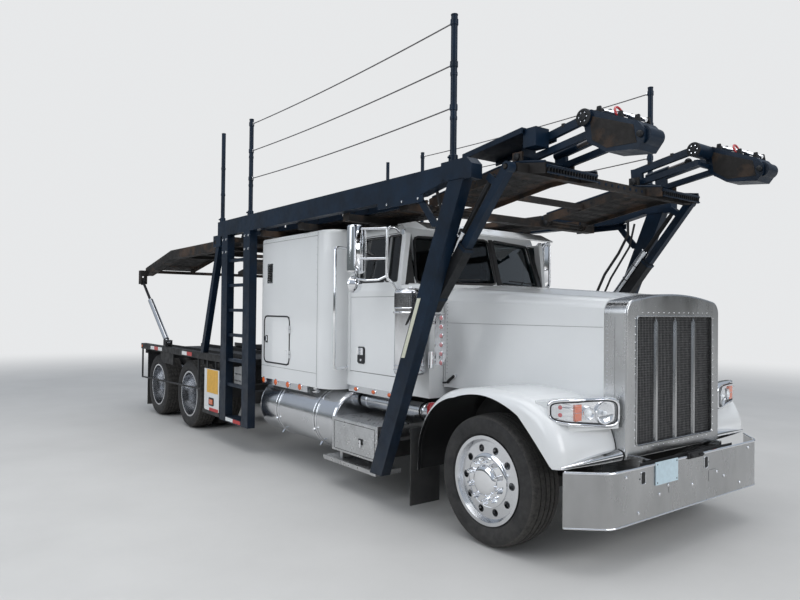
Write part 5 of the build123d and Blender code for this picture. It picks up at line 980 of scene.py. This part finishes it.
# Loading arms: hydraulic pieces, hub rims, rings, rollers under the shoe
PIN_Y, PIN_Z = -0.605, 2.9
NOSE_Y, NOSE_Z = -1.01, 2.712
RAM_X, SHOE_X = 0.59, 0.77
for side, s in SIDES:
    p = Piece(f"arm_fittings_{side}", f"loading_arm_{side}", BLACK, CHROME, RED, RUST, RUBBER, NAVY, WIRE)
    for x, d in ((0.4725, -s), (0.8905, s)):
        hub = (s * x, PIN_Y, PIN_Z)
        p.use(0)
        p.lathe(hub, (d, 0, 0), [(-0.004, 0.0565), (0.004, 0.0565), (0.007, 0.05), (0.007, 0.04)], n=40)
        p.lathe(hub, (d, 0, 0), [(0.004, 0.041), (0.003, 0.024), (0.01, 0.022), (0.012, 0.0005)], n=32)
        p.use(1)
        for c, e in circle(6):
            y, z = PIN_Y + 0.031 * c, PIN_Z + 0.031 * e
            p.bar((s * x, y, z), (s * x + d * 0.009, y, z), 0.005, n=6)
    p.use(6)
    p.tube([(s * RAM_X, -0.15, 2.772), (s * RAM_X, -0.48, 2.836)], 0.016, n=16)
    p.use(5)
    p.tube([(s * RAM_X, -0.13, 2.768), (s * RAM_X, -0.33, 2.807)], 0.027, n=16)
    p.use(0)
    p.ball((s * RAM_X, -0.495, 2.839), 0.03)
    p.bar((s * 0.56, -0.495, 2.839), (s * 0.62, -0.495, 2.839), 0.016, n=12)
    for y, z in ((-0.22, 2.842), (-0.42, 2.878)):
        for x in (0.85, 0.49):
            p.box((s * x - 0.019, s * x + 0.019), (y - 0.012, y + 0.012), (z, z + 0.026))
    p.use(2)
    p.hoop((s * SHOE_X, -0.79, 2.908), 0.04, 0.008, 32, u=s * X, v=Z + 0.35 * Y, sides=10)
    p.use(1)
    p.tube([(s * SHOE_X, -0.66, 2.952), (s * SHOE_X, -0.83, 2.89), (s * SHOE_X, -0.985, 2.818)], 0.013, n=14)
    p.use(0)
    for y, z in ((-0.68, 2.938), (-0.84, 2.87), (-0.96, 2.82)):
        ear = [(y - 0.022, z - 0.02), (y + 0.022, z - 0.016), (y + 0.014, z + 0.03), (y - 0.012, z + 0.03)]
        for x in (0.715, 0.825):
            p.prism(ear, "x", s * (x - 0.008), s * (x + 0.008))
        p.bar((s * 0.705, y, z + 0.012), (s * 0.835, y, z + 0.012), 0.007, n=10)
    p.use(3)
    cheek = [(-0.64, 2.905), (-0.96, 2.78), (-0.985, 2.665), (-0.77, 2.672), (-0.66, 2.745)]
    for x in (0.6685, 0.8715):
        p.prism(cheek, "x", s * (x - 0.0012), s * (x + 0.0012))
    p.use(4)
    for k in range(5):
        y, z = -0.672 - 0.066 * k, 2.722 - 0.0135 * k
        p.bar((s * 0.676, y, z), (s * 0.864, y, z), 0.0165, n=14)
    p.use(0)
    p.bar((s * 0.655, NOSE_Y, NOSE_Z), (s * 0.885, NOSE_Y, NOSE_Z), 0.02, n=20)
    for x in (0.655, 0.885):
        p.ball((s * x, NOSE_Y, NOSE_Z), 0.021, scale=(0.5, 1, 1))
    p.done(bevel=0.0015, weld=False)

p = Piece("slot_plate_edges", "loading_arm_right", NAVY)
slope = -0.1333
for y in (-0.078, 0.001, 0.079, 0.146, 0.222, 0.303):
    z = 2.898 + slope * (y + 0.2)
    for x in (-0.98, -0.905, -0.83, -0.755):
        p.tube([(x + 0.017 * c + (0.012 if c > 0 else -0.012), y + 0.015 * d, z + slope * 0.015 * d)
                for c, d in circle(20)], 0.0028, n=6, loop=True)
p.done(weld=False)


# Tracks: rows of holes with rolled rims on their plates, each closed by dark discs of painted shade
def hole_rows(p, xs, ys, z_at, r, rim=0.0024):
    """Holes through a plate 12 mm thick, whose top is at z_at(y); dark discs of painted shade close them at
    both faces.
    """
    for x, y in [(x, y) for x in xs for y in ys]:
        slope = (z_at(y + 0.01) - z_at(y - 0.01)) / 0.02
        for out, top in ((1, z_at(y) + 0.0008), (-1, z_at(y) - 0.0128)):
            def ring(radius, lift):
                return [(x + radius * c, y + radius * d, top + slope * radius * d + out * lift)
                        for c, d in circle(12)]
            p.use(0)
            p.rings([ring(r * k, lift) for k, lift in ((1.3, 0.0), (1.16, rim), (1, rim * 0.9), (0.97, 0.0))],
                    caps=False)
            # Dark disc across the hole: painted shade
            p.use(1)
            p.rings([ring(r * 0.98, 0.0003), ring(0.002, 0.0003)], caps=False)


def holed(name, body, *plates):
    """Mirrored hole rows: each plate gives its columns, rows, height function and hole radius."""
    p = Piece(name, body, DECK, HOLE_SHADE)
    for plate in plates:
        hole_rows(p, *plate)
    p.mirror()
    p.done(weld=False)


columns = [0.47 + 0.066 * k for k in range(8)]
holed("track_holes", "chassis", (columns, [0.93 + 0.112 * k for k in range(32)], lambda y: 2.502, 0.019))

p = Piece("deck_kerbs", "chassis", NAVY, BLACK)
section = [(0.992, 2.496), (1.036, 2.496), (1.036, 2.502), (1.0, 2.504), (1.0, 2.592), (0.992, 2.592)]
for low, high in ((0.92, 2.1), (2.14, 3.3), (3.34, 4.48)):
    p.prism(section, "y", low, high)
p.use(1)
rivet = [(0.0, 0.011), (0.006, 0.011), (0.008, 0.007), (0.008, 0.0005)]
for k in range(16):
    p.lathe((1.0, 1.02 + 0.225 * k, 2.548), X, rivet, n=8)
p.mirror()
p.done(weld=False)

holed("platform_holes", "front_platform",
      (columns, [0.1 + 0.112 * k for k in range(6)], lambda y: 2.508 + (0.838 - y) * 0.16195, 0.019),
      (columns, (-0.16, -0.27), lambda y: 2.644 + (y + 0.11) * 0.14615, 0.019))
columns = [0.47 + 0.093 * k for k in range(6)]
holed("tail_holes", "tail_deck",
      (columns, [4.68 + 0.16 * k for k in range(12)], lambda y: 2.475 - 0.009 * (y - 4.57) / 2.03, 0.024),
      (columns, [6.7 + 0.16 * k for k in range(7)], lambda y: 2.466 - 0.17016 * (y - 6.6), 0.024))

# Platform: lips, lugs and the mesh lip at its front
p = Piece("platform_edges", "front_platform", NAVY, BLACK)
for x, out in ((0.42, -X), (0.98, X)):
    p.use(0)
    p.tube([(x, 0.8, 2.548), (x, 0.06, 2.668), (x, -0.11, 2.678), (x, -0.366, 2.64)], 0.011, n=8)
    p.use(1)
    p.lathe((x, 0.81, 2.462), out, [(0.0, 0.024), (0.014, 0.024), (0.018, 0.018), (0.019, 0.0005)], n=20)
    p.lathe((x, -0.12, 2.712), out, [(0.008, 0.026), (0.02, 0.026), (0.024, 0.018), (0.025, 0.0005)], n=20)
    for y, z in ((0.55, 2.55), (0.3, 2.59), (0.1, 2.62)):
        p.bar((x - 0.012, y, z), (x + 0.012, y, z), 0.011, n=6)
p.use(0)
p.tube([(0.425, -0.372, 2.612), (0.975, -0.372, 2.612)], 0.013)
p.use(1)
for k in range(18):
    p.box((0.437 + 0.0305 * k, 0.445 + 0.0305 * k), (-0.385, -0.355), (2.57, 2.608))
p.use(0)
p.box((0.425, 0.975), (-0.386, -0.38), (2.562, 2.572))
for x in (0.45, 0.95):
    p.prism([(-0.235, 2.645), (-0.165, 2.645), (-0.175, 2.668), (-0.225, 2.668)], "x", x - 0.012, x + 0.012)
p.mirror()
for k in range(24):
    p.bar((-0.92 + 0.08 * k, -0.2305, 2.61), (-0.92 + 0.08 * k, -0.2325, 2.61), 0.012, n=12)
p.done(weld=False)

# Legs: collars and a hose on the telescopic legs and their rams
LEG_FOOT, LEG_TOP = Vector((0, 0.56, 1.66)), Vector((0, -0.2, 2.605))
LEG_DIR = (LEG_TOP - LEG_FOOT).normalized()
LEG_BACK = Vector((0, LEG_DIR.z, -LEG_DIR.y))


def on_leg(x, d, behind=0.0):
    """Point at a distance up the leg and behind it."""
    return LEG_FOOT + LEG_DIR * d + LEG_BACK * behind + x * X


p = Piece("leg_fittings", "deck_supports", CHROME, BLACK, RUBBER, NAVY)
x = 1.155
for d in (0.118, 0.627):
    p.hoop(on_leg(x, d, 0.088), 0.0365, 0.0055, 28, v=LEG_BACK)
p.use(1)
for d in (0.3, 0.46):
    p.hoop(on_leg(x, d, 0.088), 0.037, 0.004, 28, v=LEG_BACK)
p.use(3)
for d in (0.1, 0.545):
    square = [(0.045, 0.045), (-0.045, 0.045), (-0.045, -0.045), (0.045, -0.045)]
    p.rings([[on_leg(x + u, d + e, v) for u, v in square] for e in (-0.012, 0.012)])
p.use(2)
hose = ((0.045, 0.16, 0.088), (0.075, 0.2, 0.1), (0.072, 0.34, 0.115), (0.06, 0.5, 0.11), (0.03, 0.585, 0.1))
p.tube([on_leg(x + u, d, v) for u, d, v in hose], 0.009, n=8)
p.use(0)
for d in (0.16, 0.585):
    p.bar(on_leg(x + 0.02, d, 0.095), on_leg(x + 0.05, d, 0.095), 0.012, n=6)
p.mirror()
p.done(weld=False)

# Hoses along the rack, with their clips and the bolts of the rack's joints
p = Piece("rack_hoses", "chassis", RUBBER, CHROME, NAVY)
hose_x, bolt_x = 1.2, 1.295
p.tube([(1.175, 0.98, 1.3), (1.15, 0.86, 1.48), (1.12, 0.8, 1.64), (1.085, 0.74, 1.8),
        (1.09, 0.64, 2.0), (1.14, 0.52, 2.2), (1.19, 0.45, 2.38), (1.215, 0.47, 2.52)], 0.013)
p.tube([(1.19, 0.93, 1.42), (1.17, 0.76, 1.7), (1.13, 0.6, 1.96), (1.17, 0.42, 2.26),
        (1.205, 0.39, 2.48)], 0.01)
p.tube([(1.2, 1.12, 0.7), (1.198, 1.02, 0.95), (1.196, 0.93, 1.16), (1.19, 0.93, 1.42)], 0.011)
for start, z, sag, r in ((0.5, 2.6, 0.005, 0.011), (0.6, 2.575, 0.003, 0.009)):
    p.tube([(hose_x, y, z + (sag if y == 2.05 else 0)) for y in (start, 1.2, 2.05, 2.9, 4.3)], r, n=8)
p.use(2)
for y in (1.2, 2.05, 2.9, 3.5):
    p.box((hose_x - 0.002, hose_x + 0.007), (y - 0.03, y + 0.03), (2.56, 2.64))
p.use(1)
for y, z in ((3.675, 2.45), (4.3, 2.45), (3.675, 2.3), (4.3, 2.3)):
    for dy in (-0.05, 0.05):
        p.lathe((bolt_x, y + dy, z), X, [(0.0, 0.014), (0.006, 0.014), (0.008, 0.01), (0.008, 0.0005)], n=6)
for y in (0.6, 0.8, 1.0):
    p.lathe((bolt_x, y, 2.478), X, [(0.0, 0.01), (0.005, 0.01), (0.007, 0.0005)], n=6)
p.mirror()
p.done(weld=False)

# Rear: lamps, brake chambers, air lines; red canister behind the fender
p = Piece("chassis_fittings", "chassis", BLACK, RED, CHROME, RUBBER, AMBER)
lamp_y, lamp_z = 7.701, 0.775
for x in (0.33, 0.47):
    p.use(2)
    p.lathe((x, lamp_y, lamp_z), Y, [(0.0, 0.056), (0.01, 0.056), (0.012, 0.05)], n=32)
    p.use(1)
    p.lathe((x, lamp_y, lamp_z), Y, [(0.006, 0.05), (0.018, 0.044), (0.024, 0.026), (0.025, 0.0005)], n=32)
p.use(0)
p.box((0.26, 0.54), (7.69, 7.702), (0.7, 0.85))
chamber = [(0.0, 0.02), (0.0, 0.085), (0.05, 0.092), (0.06, 0.098), (0.07, 0.092), (0.15, 0.085),
           (0.17, 0.05), (0.17, 0.0005)]
for axle in DRIVE_AXLES:
    p.lathe((0.6, axle + 0.2, 0.5), Y, chamber, n=32)
    p.bar((0.6, axle + 0.2, 0.5), (0.6, axle + 0.02, 0.5), 0.016, n=12)
p.use(3)
p.tube([(0.3, 3.7, 0.955), (0.34, 3.95, 1.05), (0.36, 4.3, 0.96), (0.36, 4.9, 0.92), (0.36, 5.6, 0.915)],
       0.014, n=8)
p.tube([(0.2, 3.64, 1.25), (0.22, 3.9, 1.02), (0.24, 4.2, 0.93), (0.26, 4.9, 0.92)], 0.012, n=8)
p.use(1)
canister = [(0.0, 0.0005), (0.0, 0.045), (0.09, 0.045), (0.115, 0.03), (0.12, 0.0005)]
p.lathe((0.985, 0.775, 0.775), Z, canister, n=24)
p.use(3)
p.box((0.93, 0.97), (0.76, 0.8), (0.76, 0.86))
p.use(4)
p.lathe((1.28, 7.6, 1.012), X, [(0.005, 0.022), (0.012, 0.018), (0.015, 0.0005)], n=20)
p.mirror()
p.done(weld=False)


# Inside of the cab: cushions and gauges
def cushion(p, s, x, y, z):
    """Rounded box between two places on each axis."""
    (cx, hx), (cy, hy), (cz, hz) = (((a + b) / 2, (b - a) / 2) for a, b in (x, y, z))
    rows = []
    for v in (-pi / 2 + pi * i / 8 for i in range(9)):
        rx, ry, height = hx * cos(v) ** 0.35, hy * cos(v) ** 0.35, cz + hz * squared(sin(v), 0.5)
        rows.append([(cx * s + rx * squared(c, 0.35), cy + ry * squared(d, 0.35), height)
                     for c, d in circle(32)])
    p.rings(rows)


for side, s in SIDES:
    p = Piece(f"seat_cushion_{side}", "chassis", SEAT_CLOTH)
    cushion(p, s, (0.222, 0.738), (1.508, 1.915), (1.405, 1.475))
    cushion(p, s, (0.222, 0.738), (1.885, 1.955), (1.475, 1.985))
    cushion(p, s, (0.3, 0.66), (1.89, 1.955), (2.0, 2.15))
    p.done(angle=60)
p = Piece("dash_parts", "chassis", CHROME, BULB)
gauges = ((0.33, 1.7, 0.045), (0.45, 1.705, 0.05), (0.57, 1.7, 0.045), (0.2, 1.68, 0.025),
          (0.12, 1.68, 0.025))
for x, z, r in gauges:
    p.use(0)
    p.lathe((x, 1.1545, z), (0, 1, 0.1), [(-0.004, r), (0.004, r), (0.004, r * 0.86)], n=28)
    p.use(1)
    p.lathe((x, 1.1545, z), (0, 1, 0.1), [(0.001, r * 0.88), (0.001, 0.0005)], n=28)
p.done(weld=False)


# Finishes of the CAD nodes that stay
def fender_paint_with_painted_shade():
    """White paint that turns black on every face that looks at the wheel: painted shade under the fender."""
    mat = WHITE.copy()
    mat.name = "fender_paint_with_painted_shade"
    tree = mat.node_tree
    shader = tree.nodes["Principled BSDF"]
    coords = tree.nodes.new("ShaderNodeTexCoord").outputs
    point, facing = parts_of(tree, coords["Object"]), parts_of(tree, coords["Normal"])
    away = [math_node(tree, "MULTIPLY", math_node(tree, "SUBTRACT", point[k], centre), facing[k])
            for k, centre in ((1, AXLE), (2, WHEEL_Z))]
    turned_in = math_node(tree, "LESS_THAN", math_node(tree, "ADD", *away), -0.05)
    inward = math_node(tree, "MULTIPLY", math_node(tree, "SIGN", point[0]), facing[0])
    inside = math_node(tree, "MAXIMUM", turned_in, math_node(tree, "LESS_THAN", inward, -0.6))
    paint = shader.inputs["Base Color"].links[0].from_socket
    # Near-black on the faces turned to the wheel and inwards: painted shade
    tree.links.new(mix(tree, inside, paint, (0.012, 0.012, 0.013)), shader.inputs["Base Color"])
    coat = math_node(tree, "MULTIPLY", math_node(tree, "SUBTRACT", 1.0, inside), 0.6)
    tree.links.new(coat, shader.inputs["Coat Weight"])
    return mat


FINISHES = (
    (BLACK, "frame axles suspension engine knuckle_right knuckle_left track_rod stinger deck_legs "
            "deck_ram_rods tail_ram_rods low_deck"),
    (BRUSHED, "bumper nose"),
    (CHROME, "grille mirror_right mirror_left"),
    (POLISHED, "light_strips air_cleaners"),
    (WHITE, "headlamps hood cab sleeper door_right door_left locker_door_right locker_door_left"),
    (fender_paint_with_painted_shade(), "fenders"),
    (GLASS, "windscreen"),
    (DOOR_GLASS_SHADE, "door_glass_right door_glass_left"),
    (LINING, "interior steering_wheel"),
    (ALUMINIUM, "tanks deck_rams tail_rams front_wheel_right front_wheel_left drive_wheels_1_right "
                "drive_wheels_1_left drive_wheels_2_right drive_wheels_2_left"),
    (TREAD_PLATE, "step_boxes"),
    (NAVY, "rack_rails rack_posts ladder_rungs loading_arm_right loading_arm_left deck_leg_slides"),
    (DECK, "upper_deck front_platform tail_deck"),
    (RUBBER, "side_fittings"),
)
for finish, names in FINISHES:
    for name in names.split():
        nodes[name].data.materials.clear()
        nodes[name].data.materials.append(finish)


# Floor, lights and world
def lay_floor():
    """Pale floor that fades to the backdrop's colour far from the truck."""
    bm = bmesh.new()
    bmesh.ops.create_grid(bm, x_segments=1, y_segments=1, size=60)
    mesh = bpy.data.meshes.new("floor")
    bm.to_mesh(mesh)
    bm.free()
    floor = bpy.data.objects.new("floor", mesh)
    floor.location = (0, 0, -0.002)
    pale = material("floor_pale", (0.56, 0.55, 0.53), 0.85, noise=(0.05, 0.8, 0.08))
    mesh.materials.append(pale)
    tree = pale.node_tree
    far = tree.nodes.new("ShaderNodeEmission")
    far.inputs["Color"].default_value = (*BACKDROP, 1)
    away = tree.nodes.new("ShaderNodeVectorMath")
    away.operation = "LENGTH"
    tree.links.new(tree.nodes.new("ShaderNodeTexCoord").outputs["Object"], away.inputs[0])
    both = tree.nodes.new("ShaderNodeMixShader")
    tree.links.new(remap(tree, away.outputs["Value"], 7.0, 19.0, 0, 1, "SMOOTHSTEP"), both.inputs["Fac"])
    tree.links.new(tree.nodes["Principled BSDF"].outputs[0], both.inputs[1])
    tree.links.new(far.outputs[0], both.inputs[2])
    tree.links.new(both.outputs[0], tree.nodes["Material Output"].inputs["Surface"])
    scene.collection.objects.link(floor)


def area_light(name, where, target, size, power, color=(1, 1, 1)):
    data = bpy.data.lights.new(name, "AREA")
    data.shape = "RECTANGLE"
    data.size, data.size_y = size
    data.energy = power
    data.color = color
    lamp = bpy.data.objects.new(name, data)
    lamp.location = where
    lamp.rotation_euler = (Vector(target) - Vector(where)).to_track_quat("-Z", "Y").to_euler()
    scene.collection.objects.link(lamp)


def set_world():
    """Sky colours for reflections, and the plain backdrop where the camera looks past the truck."""
    world = bpy.data.worlds.new("studio")
    scene.world = world
    world.use_nodes = True
    tree = world.node_tree
    link = tree.links.new
    background = tree.nodes["Background"]
    height = parts_of(tree, tree.nodes.new("ShaderNodeTexCoord").outputs["Generated"])[2]
    ramp = tree.nodes.new("ShaderNodeValToRGB")
    link(remap(tree, height, -1, 1, 0, 1), ramp.inputs["Fac"])
    stops = ((0.0, (0.3, 0.29, 0.28)), (0.49, (0.34, 0.33, 0.32)), (0.505, (0.16, 0.17, 0.17)),
             (0.54, (0.22, 0.25, 0.26)), (0.58, (0.62, 0.68, 0.76)), (0.75, (0.62, 0.7, 0.82)),
             (1.0, (0.8, 0.86, 0.95)))
    elements = ramp.color_ramp.elements
    while len(elements) < len(stops):
        elements.new(0.5)
    for element, (place, color) in zip(elements, stops):
        element.position = place
        element.color = (*color, 1)
    link(ramp.outputs["Color"], background.inputs["Color"])
    background.inputs["Strength"].default_value = 0.62
    plain = tree.nodes.new("ShaderNodeBackground")
    plain.inputs["Color"].default_value = (*BACKDROP, 1)
    path = tree.nodes.new("ShaderNodeLightPath")
    blend = tree.nodes.new("ShaderNodeMixShader")
    link(path.outputs["Is Camera Ray"], blend.inputs["Fac"])
    link(background.outputs["Background"], blend.inputs[1])
    link(plain.outputs["Background"], blend.inputs[2])
    link(blend.outputs["Shader"], tree.nodes["World Output"].inputs["Surface"])


lay_floor()
area_light("top_light", (-1, -3, 11), (0, -2, 0), (14, 12), 900)
area_light("front_light", (2, -16, 6), (0, -4, 1), (9, 6), 520)
area_light("side_light", (-12, -1, 6), (0, 0, 1), (9, 6), 380, (0.94, 0.97, 1.0))
set_world()
scene.view_settings.view_transform = "Standard"
